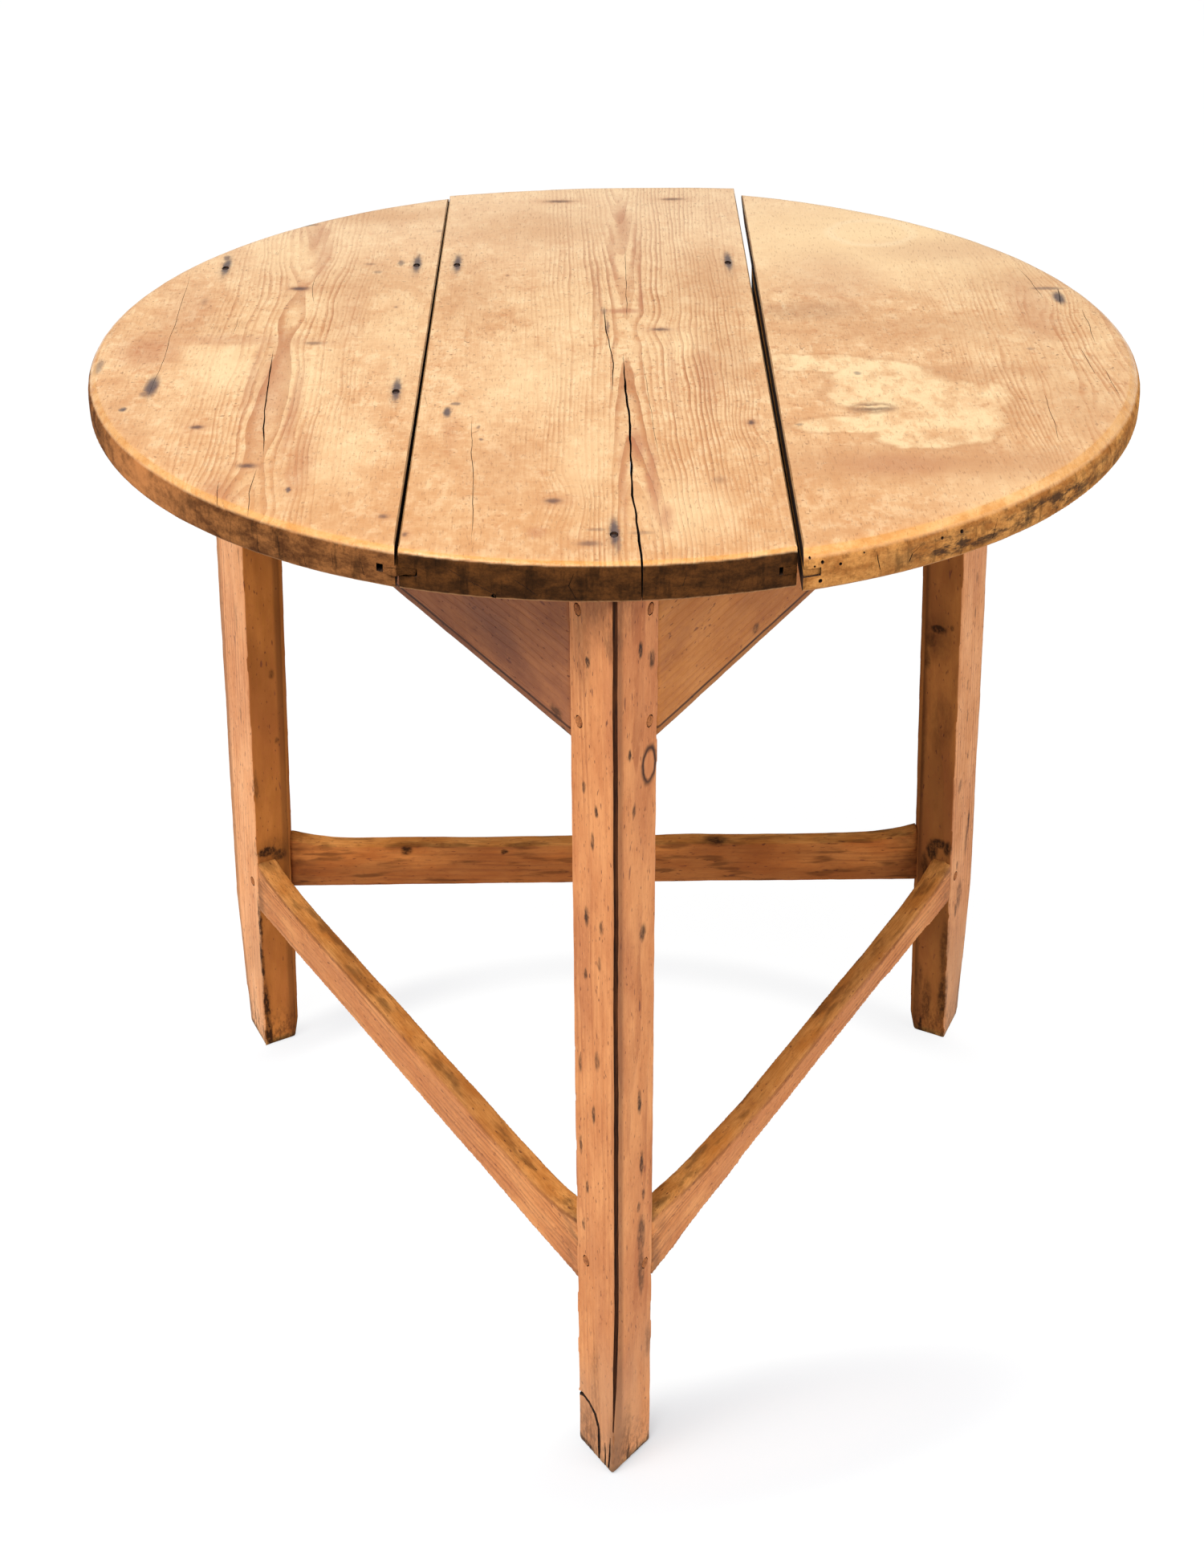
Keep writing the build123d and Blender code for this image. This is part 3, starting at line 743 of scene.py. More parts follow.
# %% What each board shows
# All in mm from the top's centre: (x, y, half width, half length, strength)
TOP_MARKS = {
    "left": dict(
        iron=[(-305, -75, 4.4, 17, 1), (-308, -88, 3, 5, 0.6), (-154, 170, 2.2, 6, 0.7),
              (-170, 150, 3, 3, 0.45), (-155, 322, 17, 4, 0.85), (-236, 262, 11, 3.5, 0.8),
              (-285, 184, 2.4, 6, 0.8), (-128, 245, 3, 3, 0.35), (-346, -38, 3, 12, 0.6),
              (-199, -245, 1.6, 4, 0.9), (-318, -115, 2.2, 3.5, 0.95)],
        knots=[(-224, 115, 8, 5, 1), (-204, 3, 8, 4, 0.55), (-227, -208, 7, 4.5, 0.9),
               (-266, -146, 5, 4, 0.9), (-139, -285, 3.5, 4, 0.7), (-152, 74, 2, 2.4, 0.5),
               (-290, 88, 3, 10, 0.25), (-176, 168, 5, 3, 0.4)],
        red=[(-221, 235, 6, 40, 0.55), (-212, 178, 5, 40, 0.5), (-226, -80, 8, 80, 0.7),
             (-208, -120, 4, 70, 0.6), (-240, -60, 3, 70, 0.5), (-243, -262, 11, 32, 0.7),
             (-196, -205, 8, 45, 0.5), (-316, -10, 20, 30, 0.6), (-262, 10, 50, 9, 0.45),
             (-258, -300, 14, 20, 0.5), (-185, 60, 12, 60, 0.25), (-300, 70, 18, 40, 0.35)],
        dark=[(-175, 285, 46, 18, 0.5), (-300, 30, 40, 18, 0.3), (-330, -150, 30, 50, 0.35),
              (-170, 120, 30, 40, 0.3)],
        pale=[(-262, -40, 26, 40, 0.7), (-205, -60, 22, 50, 0.5), (-150, 20, 20, 80, 0.4),
              (-170, -180, 20, 50, 0.5), (-240, 190, 20, 30, 0.4)],
        bulges=[(-224, 115, 26, 34, 4), (-204, 3, 20, 30, 3), (-227, -208, 24, 40, 4)],
        rings=dict(heart=(-224, 14), bow=(-30, 110), ring=3.3, sway=(20, 7)),
        band=(-224, 70), figure=0.9, rim=(86, 50, 26), rim_pale=(152, 98, 54), round=8,
    ),
    "centre": dict(
        iron=[(-2, -326, 2, 12, 0.55), (-14, -306, 6, 2, 0.4), (12, -311, 7, 2.5, 0.35),
              (-108, -124, 2.4, 8, 1), (-103, -110, 3, 2.6, 0.7), (-2, 30, 1.2, 12, 0.6),
              (-4, 62, 2, 6, 0.4), (-87, -150, 1.2, 3, 0.6), (-85, -170, 1.5, 2, 0.7)],
        knots=[(-35, 316, 13, 4, 0.75), (55, 320, 11, 4, 0.65), (35, 24, 8, 4, 0.8),
               (87, -146, 3, 4.5, 1), (-39, -265, 6, 5, 0.85), (-18, -325, 8, 5, 0.6),
               (-125, -310, 2.4, 3.6, 0.7), (-74, 140, 2, 2, 0.5), (62, -236, 5, 7, 0.25)],
        red=[(13, 262, 5, 46, 0.7), (4, 190, 2.4, 60, 0.5), (22, 190, 2.4, 60, 0.5),
             (10, 62, 12, 5, 0.9), (23, 85, 2.4, 26, 0.6), (13, -180, 5, 26, 0.9),
             (21, -235, 3.4, 50, 0.85), (3, -235, 2.4, 60, 0.5), (27, -290, 4, 18, 0.7),
             (-8, 100, 2.4, 60, 0.4), (62, -60, 7, 60, 0.35), (40, -60, 3, 70, 0.4),
             (-48, -309, 5, 7, 0.55), (-104, -160, 5, 30, 0.25)],
        dark=[(-60, 250, 50, 40, 0.4), (72, 120, 26, 60, 0.45), (78, -30, 16, 60, 0.4),
              (-75, -215, 20, 40, 0.3), (-100, 90, 20, 60, 0.35)],
        pale=[(-55, -70, 34, 60, 0.55), (38, -280, 24, 40, 0.6), (-30, 60, 24, 50, 0.4),
              (-20, -200, 16, 60, 0.5), (50, 10, 18, 40, 0.4)],
        bulges=[(87, -146, 16, 24, 4), (-39, -265, 18, 26, 6), (35, 24, 16, 20, 4)],
        rings=dict(heart=(11, 18), bow=(10, 120), ring=3.0, sway=(12, 5)),
        band=(22, 102), figure=1.0, rim=(52, 30, 13), rim_pale=(94, 56, 25), round=5.5,
    ),
    "right": dict(
        iron=[(323, 82, 4, 12, 1), (318, 102, 11, 3, 0.6), (163, -62, 2.5, 3, 0.6),
              (140, 60, 34, 18, 0.16), (226, 300, 30, 4, 0.4), (117, -150, 2, 2, 0.5)],
        knots=[(286, -20, 3, 3, 0.4), (205, -290, 2, 3, 0.5), (300, 190, 3, 4, 0.5)],
        red=[(300, 60, 16, 60, 0.45), (255, 190, 60, 26, 0.35), (165, 130, 34, 60, 0.35),
             (170, -215, 30, 14, 0.4)],
        dark=[(215, 205, 80, 30, 0.35), (160, 260, 34, 30, 0.3), (205, 22, 90, 26, 0.45),
              (200, -214, 92, 26, 0.8), (300, -120, 30, 60, 0.4), (290, 130, 35, 30, 0.45),
              (250, -60, 60, 10, 0.5)],
        pale=[(240, -262, 50, 30, 0.4), (160, 190, 16, 60, 0.3), (205, 215, 120, 90, 0.95)],
        bulges=[(322, 90, 18, 30, 7), (290, 150, 20, 40, 4)],
        rings=dict(heart=(395, 70), bow=(-40, 90), ring=3.0, sway=(30, 8)),
        band=(300, 105), figure=0.55, rim=(158, 100, 48), rim_pale=(206, 146, 80), round=11,
    ),
}
# The bleached patch of the right board, the ring that a wet cup left, and a
# knot that shows only as the outline of a lens
BLEACHED = [
    (136, -41, 36, 16, 1), (178, -66, 36, 26, 1), (168, -100, 28, 30, 1),
    (208, -100, 50, 28, 1), (243, -104, 20, 24, 1), (205, -140, 48, 34, 1),
    (200, -172, 36, 20, 1), (150, -152, 42, 13, 0.8),
]
ISLANDS = [(129, -88, 20, 24, 1), (234, -118, 20, 11, 0.8), (216, -166, 20, 8, 0.5)]
CUP_RING = (204, 232, 34, 33, 5)
LENS_KNOT = (167, -123, 15, 9, 4)
LENS_SLOT = [(168, -125, 11, 2.2, 1), (164, -118, 5, 1.2, 0.7)]
# Smudges on the right rim, and where hands have rubbed the left one
SMUDGES = [(262, -236, 60, 52, 1), (205, -288, 50, 40, 1), (312, -172, 30, 40, 0.6)]
RUBBED_RIM = [(-300, -200, 50, 50, 1)]


def outline(bench, point, oval, soft):
    """A ring: an oval less a smaller one inside it."""
    x, y, width, length, thick = oval
    outer = marks(bench, point, [(x, y, width, length, 1)], soft)
    inner = marks(bench, point, [(x, y, width - thick, length - thick, 1)], soft)
    return outer - inner * 0.9


print("iron stains:", {name: len(look["iron"]) for name, look in TOP_MARKS.items()})

# %% [markdown]
# Several coats of colour use the same noise, so each board's fields are made
# once and kept together. The rings show strongly only in a band of the board,
# where the saw ran near the tree's heart, and fade out beside it.

# %% The fields of a board
class BoardFace:
    """The fields that a board's coats of colour share. Lengths are in mm."""

    def __init__(self, name):
        self.name, self.look = name, TOP_MARKS[name]
        bench = self.bench = Bench(f"top_wood_{name}")
        across, run = bench.x / mm, (bench.y - TOP_CENTRE.y) / mm
        depth = (TABLE_HEIGHT - bench.z) / mm
        self.across, self.run, self.depth = across, run, depth
        self.flat = bench.facing_z.step(0.5, 0.9)
        self.loose = ragged(bench, bench.place, 3.5 * mm, 14 * mm)
        self.close = ragged(bench, bench.place, 1.5 * mm, 3.6 * mm)
        self.wide = ragged(bench, self.loose, 12 * mm, 34 * mm)
        self.clouds = bench.cloud(across / 30, run / 52, depth / 20, 5.0, 0.68)
        self.mottle = bench.cloud(across / 9, run / 15, 1.5, 4.0, 0.65)
        self.patchy = bench.cloud(across / 38, run / 100, 0.5, 2.0).step(0.32, 0.6)
        self.fibre = bench.cloud(across / 1.1, run / 26, depth / 1.1, 3.0, 0.7)
        self.torn = bench.cloud(across / 1.3, run / 8, depth / 1.3, 2.0).step(0.58, 0.72)
        self.grit = bench.cloud(across / 3.2, run / 3.6, 7.5, 3.0, 0.7)
        self.soil = bench.cloud(across / 17, run / 17, depth / 9, 5.0, 0.7)
        middle, reach = self.look["band"]
        self.band = 1 - abs(across - middle).step(reach * 0.3, reach)
        self.lines = self.figure()

    def figure(self):
        """The rings, swollen round the knots and faint outside the board's band."""
        bulge = None
        for swelling in self.look["bulges"]:
            swell = marks(self.bench, self.bench.place, [swelling], 1.0)
            bulge = swell if bulge is None else bulge + swell
        lines = pine_rings(self.bench, self.run, self.across, self.depth, **self.look["rings"], bulge=bulge)
        return lines * (0.16 + 0.84 * self.band) * (0.4 + 0.6 * self.patchy) * self.look["figure"]


FACES = {name: BoardFace(name) for name in TOP_MARKS}


def show_nodes(step):
    print(step, {name: len(face.bench.tree.nodes) for name, face in FACES.items()}, "nodes")


show_nodes("fields:")

# %% [markdown]
# The bare pine comes first: pale and brown clouds under everything, then
# fibres, fine scratches, grit and the rings. A coat over the back half is
# scrubbed pale, and one over the front is brown from hands.

# %% Bare pine
def bare_pine(face):
    """Scrubbed pine with its rings: paler at the back, browner where hands rest in front."""
    bench, across, run, mottle = face.bench, face.across, face.run, face.mottle
    broad = bench.cloud(across / 120 + 7, run / 190, 0.5, 2.0)
    scratch = bench.cloud(across / 9, run / 1.3, 3.5, 2.0, 0.6)
    blots = bench.cloud(across / 7, run / 9, 11.5, 2.0, 0.6).step(0.6, 0.7)
    dots = bench.cloud(across / 2.4, run / 3, 13.5, 0.0).step(0.76, 0.84)
    wood = bench.blend(face.clouds.step(0.32, 0.68), linear(224, 168, 116), linear(250, 208, 156))
    wood = wood.coat(broad.step(0.35, 0.7) * 0.4, 234, 182, 130)
    wood = wood.coat(face.fibre.step(0.3, 0.72) * 0.34, 196, 136, 84)
    wood = wood.coat(scratch.step(0.5, 0.7) * 0.26, 255, 224, 174)
    wood = wood.coat(face.grit.step(0.54, 0.74) * 0.34, 184, 126, 80)
    wood = wood.coat(mottle.step(0.5, 0.68) * 0.38, 202, 142, 92)
    wood = wood.coat((1 - mottle.step(0.34, 0.48)) * 0.45, 255, 222, 174)
    wood = wood.coat(face.band * (1 - face.lines.step(0.05, 0.3)) * 0.22, 255, 222, 170)
    wood = wood.coat(face.lines * 0.8, 178, 108, 60)
    wood = wood.coat(blots * 0.42, 200, 128, 76)
    wood = wood.coat(dots * 0.6, 128, 86, 60)
    wood = wood.coat(run.step(30, 330) * 0.46, 255, 224, 184)
    handled = (1 - run.step(-330, -40)) * (0.38 + 0.3 * mottle.step(0.4, 0.6))
    return wood.coat(handled, 212, 152, 96)


PINE = {name: bare_pine(face) for name, face in FACES.items()}
show_nodes("bare pine:")

# %% [markdown]
# Next come the marks of use. The wide ones are blurred most. The bleached patch
# has a brown shore where the spill dried, and islands that it never reached.

# %% Clouds of wear and the bleached patch
def bleached(face, wood):
    """The patch, the ring of a cup and the outline of a knot, all on the right board."""
    bench, flat, mottle = face.bench, face.flat, face.mottle
    patch = marks(bench, face.wide, BLEACHED, 0.5) * flat
    island = marks(bench, face.loose, ISLANDS, 0.6)
    shore = patch.step(0.05, 0.4) - patch.step(0.4, 0.8)
    patch = patch.step(0.3, 0.75) * (1 - island) * (0.35 + 0.65 * face.clouds.step(0.36, 0.56))
    patch = patch * (1 - mottle.step(0.5, 0.62) * 0.5) * (1 - 0.35 * face.across.step(190, 270))
    wood = wood.coat(shore * 0.3, 190, 132, 84)
    wood = wood.coat(patch * 0.7, 255, 224, 172)
    wood = wood.coat(outline(bench, face.loose, CUP_RING, 0.16) * flat * 0.62, 255, 226, 182)
    torn_out = ragged(bench, face.close, 3 * mm, 9 * mm)
    wood = wood.coat(outline(bench, torn_out, LENS_KNOT, 0.35) * flat * 0.62, 140, 92, 62)
    return wood.coat(marks(bench, torn_out, LENS_SLOT, 0.7) * flat * 0.7, 104, 68, 50)


def used(face, wood):
    """Darker, paler and redder places, torn fibres, knots and iron stains."""
    bench, look, flat = face.bench, face.look, face.flat
    wood = wood.coat(marks(bench, face.wide, look["dark"], 0.9) * flat, 204, 148, 100)
    wood = wood.coat(marks(bench, face.wide, look["pale"], 0.9) * flat * 0.9, 254, 218, 166)
    wood = wood.coat(marks(bench, face.loose, look["red"], 0.7) * flat * 0.7, 180, 108, 72)
    if face.name == "right":
        wood = bleached(face, wood)
    wood = wood.coat(face.torn * flat * (0.14 + 0.2 * face.patchy), 140, 88, 54)
    knots = look["knots"]
    eyes = [(x - 0.1 * width, y, width * 0.62, length * 0.6, strength)
            for x, y, width, length, strength in knots]
    wood = wood.coat(marks(bench, face.loose, knots, 0.9, 1.8) * flat * 0.34, 196, 128, 84)
    wood = wood.coat(marks(bench, face.close, knots, 0.7, 0.9) * flat * 0.62, 150, 104, 78)
    wood = wood.coat(marks(bench, face.close, eyes, 0.8) * flat * 0.8, 84, 62, 58)
    stains = list(look["iron"])
    if face.name != "right":
        for top in NAILS[face.name]:
            x, y = (top - TOP_CENTRE).xy / mm
            stains += [(x + 0.3, y + 3, 2.9, 19, 1), (x, y, 4.4, 24, 0.25)]
    return wood.coat(marks(bench, face.close, stains, 0.55) * flat * 0.86, 66, 60, 70)


USED_PINE = {name: used(face, PINE[name]) for name, face in FACES.items()}
show_nodes("with marks of use:")

# %% [markdown]
# The round-over of the rim is rubbed to a golden line, and the rim below it is
# dark with old polish, cracked where the ends of the fibres come out. The
# walls inside the joints are nearly black, and the underside never saw wax.

# %% The finish of a board
def old_rim(face):
    """The upright rim: dark polish over end grain."""
    bench, rim = face.bench, face.look["rim"]
    across, run, depth = face.across, face.run, face.depth
    upright = bench.cloud(across / 5, run / 5, depth / 30, 3.0, 0.65)
    grain_end = bench.cloud(across / 2, run / 2, depth / 2, 3.0, 0.7)
    old = bench.blend(face.soil.step(0.34, 0.68), linear(*rim), linear(*face.look["rim_pale"]))
    old = old.coat(upright.step(0.5, 0.68) * 0.5, *[c * 0.45 for c in rim])
    old = old.coat(grain_end.step(0.4, 0.8) * 0.45, *[c * 0.5 for c in rim])
    if face.name == "right":
        smoke = bench.cloud(across / 22, run / 22, depth / 8 + 4, 4.0, 0.75).step(0.42, 0.6)
        where = marks(bench, face.loose, SMUDGES, 0.6) * (1 - abs(depth - 15).step(4, 9))
        old = old.coat(smoke * where * 0.9, 60, 42, 32)
    if face.name == "left":
        worn = marks(bench, face.loose, RUBBED_RIM, 0.8)
        old = old.coat(worn * (0.35 + 0.4 * face.soil.step(0.35, 0.65)), 192, 126, 74)
    return old


def board_wood(face, wood):
    """The used pine with the rim, the joints' walls and the underside added."""
    bench, across, run, soil = face.bench, face.across, face.run, face.soil
    over = bench.facing_z.step(0.5, 0.75) * (1 - bench.facing_z.step(0.93, 0.99))
    side = 1 - bench.facing_z.step(0.46, 0.74)
    under = (bench.facing_z * -1).step(0.4, 0.8)
    golden = bench.blend(soil.step(0.3, 0.7), linear(240, 182, 104), linear(206, 138, 68))
    wood = bench.blend(over * (0.3 + 0.55 * soil.step(0.3, 0.65)), wood, golden)
    wood = bench.blend(side, wood, old_rim(face))
    radial = (across * across + run * run).root()
    walls = abs(bench.facing_x).step(0.55, 0.85) * (1 - radial.step(346, 352))
    wood = wood.coat(walls * 0.9, 34, 20, 12)
    raw = bench.blend(face.clouds, linear(150, 104, 68), linear(186, 138, 94))
    raw = raw.coat(face.lines * 0.6, 110, 68, 42)
    wood = bench.blend(under, wood, raw)
    relief = face.lines * 0.5 + face.fibre * 0.35 + face.clouds * 0.9 - face.torn * 0.35 - face.grit * 0.2
    roughness = 0.52 - face.clouds * 0.14 + side * 0.06 - over * (1 - side) * 0.22
    return bench.finish(wood, roughness, relief, 0.45 * mm, dry=side.most(under) * 0.9)


BOARD_WOOD = {name: board_wood(face, USED_PINE[name]) for name, face in FACES.items()}
show_nodes("finished:")

# %% [markdown]
# ## The colour of the frame
# Legs and rails are pine too, but they have kept an old orange-brown polish.
# Their outer faces are worn to a salmon tone and the inner ones are deep
# brown, partly their own tone and partly painted shade. Small dark dashes follow
# the grain everywhere, and near the shoulders of the joints soot and painted
# shade darken the wood.

# %% The fields of a leg or rail
SMALL_DASH = (1.7, 6, 0.68)
LARGE_DASH = (3.6, 15, 0.71)


def dashes(bench, across, run, depth, dash):
    """Short dark dashes along the grain. dash is their width, their length and how few there are."""
    width, length, share = dash
    field = bench.cloud(across / width, run / length, depth / width, 1.0)
    return field.step(share, share + 0.09)


class FrameFace:
    """What the coats of a leg or rail share. Lengths are in mm, outer is 1 on its outer faces."""

    def __init__(self, run, across, depth, outer):
        bench = self.bench = outer.bench
        self.run, self.across, self.depth, self.outer = run, across, depth, outer
        self.clouds = bench.cloud(across / 17, run / 55, depth / 17, 4.0, 0.6)
        self.broad = bench.cloud(across / 45, run / 140, depth / 45 + 3, 2.0)
        self.fibre = bench.cloud(across / 0.9, run / 26, depth / 0.9, 3.0, 0.65)
        patches = bench.cloud(across / 25, run / 90, depth / 25 + 9, 2.0)
        self.patchy = patches.step(0.35, 0.65)
        self.grit = bench.cloud(across / 3, run / 7, depth / 3 + 5, 3.0, 0.7)
        self.small = dashes(bench, across, run, depth, SMALL_DASH)
        self.large = dashes(bench, across + 90, run, depth, LARGE_DASH)


def places_on(bench, point, places, soft=0.45):
    """Marks at points of the frame: (centre, (half width, half height), strength), in mm."""
    ovals = [(centre, (w * mm, w * mm, h * mm), strength) for centre, (w, h), strength in places]
    return strongest(bench, point, ovals, soft)


print("dashes about", SMALL_DASH[:2], "and", LARGE_DASH[:2], "mm wide and long")

# %% [markdown]
# The outer and the inner tones are two stacks of coats, blended by which way
# the face looks; the darker inner stack holds painted shade as well as the
# wood's own tone. Rubbed gold, the dirt of a foot, single spots, and soot with
# painted shade go over them, each only where it belongs.

# %% The finish of legs and rails
def polished(face, tones, rings):
    """Old polish: outer tones outside, inner ones inside, with rings and fibres."""
    bench, clouds, broad = face.bench, face.clouds, face.broad
    wood = bench.blend(clouds.step(0.3, 0.7), linear(*tones["outer"]), linear(*tones["outer_pale"]))
    wood = wood.coat(broad.step(0.42, 0.66) * 0.55, *tones["outer_dark"])
    # The inner tones: the wood's own deeper brown with painted shade in it.
    inner = bench.blend(clouds.step(0.3, 0.7), linear(*tones["inner"]), linear(*tones["inner_pale"]))
    inner = inner.coat(broad.step(0.4, 0.6) * 0.5, *tones["inner_dark"])
    wood = bench.blend(face.outer, inner, wood)
    wood = wood.coat(rings * (0.12 + 0.38 * face.patchy) * tones["figure"], *tones["late"])
    return wood.coat(face.fibre.step(0.25, 0.8) * 0.28, *tones["late"])


def rubbed_gold(face, wood, gold):
    """Gold where feet rub the upper face, with a brown line along its edge."""
    bench = face.bench
    above = bench.facing_z.step(0.30, 0.62)
    edge = bench.facing_z.step(0.12, 0.3) * (1 - bench.facing_z.step(0.42, 0.66))
    rubbed = bench.blend(face.clouds.step(0.3, 0.7), linear(190, 118, 52), linear(226, 160, 88))
    rubbed = rubbed.coat(face.broad.step(0.4, 0.65) * 0.5, 150, 90, 42)
    rubbed = rubbed.coat(face.fibre.step(0.35, 0.75) * 0.5, 140, 84, 38)
    wood = bench.blend(above * gold, wood, rubbed)
    return wood.coat(edge * face.outer.step(0.05, 0.4) * (0.25 + 0.5 * face.patchy), 132, 76, 34)


def trodden(face, wood):
    """A foot: golden and black at its lower edge, kicked above it, dusty higher up."""
    height = face.run
    floor_edge = (1 - height.step(2, 9)) * (0.45 + 0.5 * face.clouds)
    wood = wood.coat(floor_edge * 0.9, 206, 152, 84)
    kicked = (1 - height.step(8, 48)) * face.grit.step(0.42, 0.62)
    wood = wood.coat(kicked * 0.6, 86, 50, 28)
    dirty = (1 - height.step(2, 9)) * face.clouds.step(0.36, 0.52)
    wood = wood.coat(dirty * 0.8, 44, 26, 14)
    dusty = (1 - height.step(60, 150)) * face.broad.step(0.35, 0.6)
    return wood.coat(dusty * face.outer * 0.5, 200, 150, 110)


def frame_wood(face, tones, spots=(), soot_and_painted_shade=None, ring=4.5, gold=0.0, foot=False):
    """The material for one leg or rail. gold is for stretchers and foot for legs."""
    bench, outer, clouds, grit = face.bench, face.outer, face.clouds, face.grit
    heart = (tones["heart"], 30)
    rings = pine_rings(bench, face.run, face.across, face.depth, heart, (0, 40), ring, (16, 5))
    wood = polished(face, tones, rings)
    if gold:
        wood = rubbed_gold(face, wood, gold)
    wood = wood.coat(grit.step(0.52, 0.74) * 0.34, *tones["late"])
    wood = wood.coat((1 - grit.step(0.3, 0.44)) * outer * 0.3, *tones["outer_pale"])
    wood = wood.coat(face.small * 0.7, 88, 46, 38)
    wood = wood.coat(face.large * 0.6, 96, 52, 46)
    if foot:
        wood = trodden(face, wood)
    if spots:
        close = ragged(bench, bench.place, 1.3 * mm, 4 * mm)
        stain = places_on(bench, close, spots) * (0.6 + 0.6 * grit.step(0.35, 0.6))
        wood = wood.coat(stain * 0.9, 60, 36, 22)
    # Soot, and at an apron's lower edge painted shade.
    if soot_and_painted_shade is not None:
        wood = wood.coat(soot_and_painted_shade * (0.45 + 0.5 * clouds), 62, 34, 22)
    # Faces that look down are painted darker brown: painted shade.
    wood = wood.coat((bench.facing_z * -1).step(0.5, 0.9) * 0.6, 84, 48, 28)
    relief = rings * 0.4 + face.fibre * 0.35 + clouds * 0.8 - face.small * 0.5 - face.large * 0.3
    return bench.finish(wood, 0.56 - clouds * 0.16, relief, 0.4 * mm, dry=1 - outer * 0.35)


print("coats of the frame: polish, gold, the dirt of a foot, spots and soot")


# %% [markdown]
# A joiner marks places out along a side of the table: so far from its middle,
# so far behind its outer face, and at this height. These functions turn such a
# place into a point of the frame. At the foot the outer corner is worn in, and
# a place on the face moves in with it.

# %% Places along the sides of the frame
def along(side):
    """Along a side, from its first leg to its second."""
    return heading(SIDE_ANGLES[side] + 90)


def side_point(side, t, depth, z):
    """A point t along a side from its middle, and this deep behind its outer face."""
    face = FRAME_CENTRE + heading(SIDE_ANGLES[side]) * (face_distance(z) - depth)
    return face + along(side) * t + Vector((0, 0, z))


def plane_through(a, b, c, heart):
    """A point and normal of the plane through three points, facing away from heart."""
    normal = (b - a).cross(c - a).normalized()
    return a, normal if normal.dot(heart - a) < 0 else -normal


# How far the front foot's worn corner has moved sideways
FOOT_SHIFT = {"front": -3 * mm, "rear_right": 0, "rear_left": 0}


def outer_corner(name, z):
    """The leg's outer corner at height z, with the wear of the foot."""
    if z >= FOOT_TAPER:
        return leg_corners(name, z)[0]
    outward = heading(LEG_ANGLES[name])
    tip = leg_corners(name, 0, FOOT_WEAR)[0] + Vector((-outward.y, outward.x, 0)) * FOOT_SHIFT[name]
    return tip.lerp(leg_corners(name, FOOT_TAPER)[0], z / FOOT_TAPER)


def on_face(side, end, t, z):
    """The point t along a side and at height z, on the outer face of one of its legs."""
    flat = side_point(side, t, 0, z)
    if z >= FOOT_TAPER:
        return flat
    name = SIDE_LEGS[side][end]
    corner = leg_corners(name, 0)[1 if end == 0 else 3]
    start, normal = plane_through(outer_corner(name, 0), corner, outer_corner(name, FOOT_TAPER), TOP_CENTRE)
    inward = heading(SIDE_ANGLES[side]) * -1
    return flat + inward * max(0, (start - flat).dot(normal) / inward.dot(normal))


def on_shoulder(side, end, depth, z):
    """A point of the square shoulder that a rail butts against, this deep behind the outer face."""
    t = leg_radius(z) * cos(radians(KITE_ANGLE)) - leg_face(z)
    return side_point(side, t if end else -t, depth, z)


print("a shoulder of the left side:", tuple(round(c / mm) for c in on_shoulder("left", 0, 0, UNDERSIDE)))

# %% [markdown]
# The legs' outer faces are salmon, palest on the rear left leg, which stands
# nearest to the window: that extra paleness is painted light. The aprons are
# browner under the top's shade, and the stretchers are the most orange. late is
# the tone of the rings and fibres, heart is where the tree's heart lies, and
# figure is how strongly the rings show.

# %% Tones of the frame
TONE_NAMES = "outer outer_pale outer_dark inner inner_pale inner_dark late heart figure".split()


def tones(*values):
    return dict(zip(TONE_NAMES, values, strict=True))


LEG_TONES = {
    "front": tones((206, 133, 81), (226, 156, 99), (182, 112, 71), (164, 100, 46), (190, 122, 58),
                   (126, 72, 34), (152, 82, 46), 30, 1.0),
    # Paler than the other legs: painted light from the window.
    "rear_left": tones((236, 166, 111), (249, 186, 133), (215, 145, 98), (164, 100, 44), (190, 120, 58),
                       (126, 72, 34), (168, 94, 54), 30, 1.0),
    "rear_right": tones((216, 148, 96), (235, 170, 118), (192, 123, 81), (150, 92, 46), (178, 114, 58),
                        (106, 62, 34), (150, 84, 48), 30, 1.0),
}
APRON_TONES = {
    "left": tones((152, 94, 60), (178, 114, 70), (110, 70, 58), (150, 92, 50), (176, 114, 64),
                  (118, 68, 38), (122, 70, 56), 20, 0.45),
    "right": tones((181, 114, 55), (200, 134, 71), (152, 92, 49), (150, 92, 50), (176, 114, 64),
                   (118, 68, 38), (150, 86, 56), 20, 0.45),
}
APRON_TONES["rear"] = APRON_TONES["right"]
STRETCHER_TONES = tones((212, 136, 78), (230, 158, 96), (190, 116, 70), (192, 113, 55), (216, 140, 74),
                        (112, 58, 34), (124, 70, 44), -10, 1.0)
print("tones for", len(LEG_TONES), "legs and", len(APRON_TONES), "aprons")
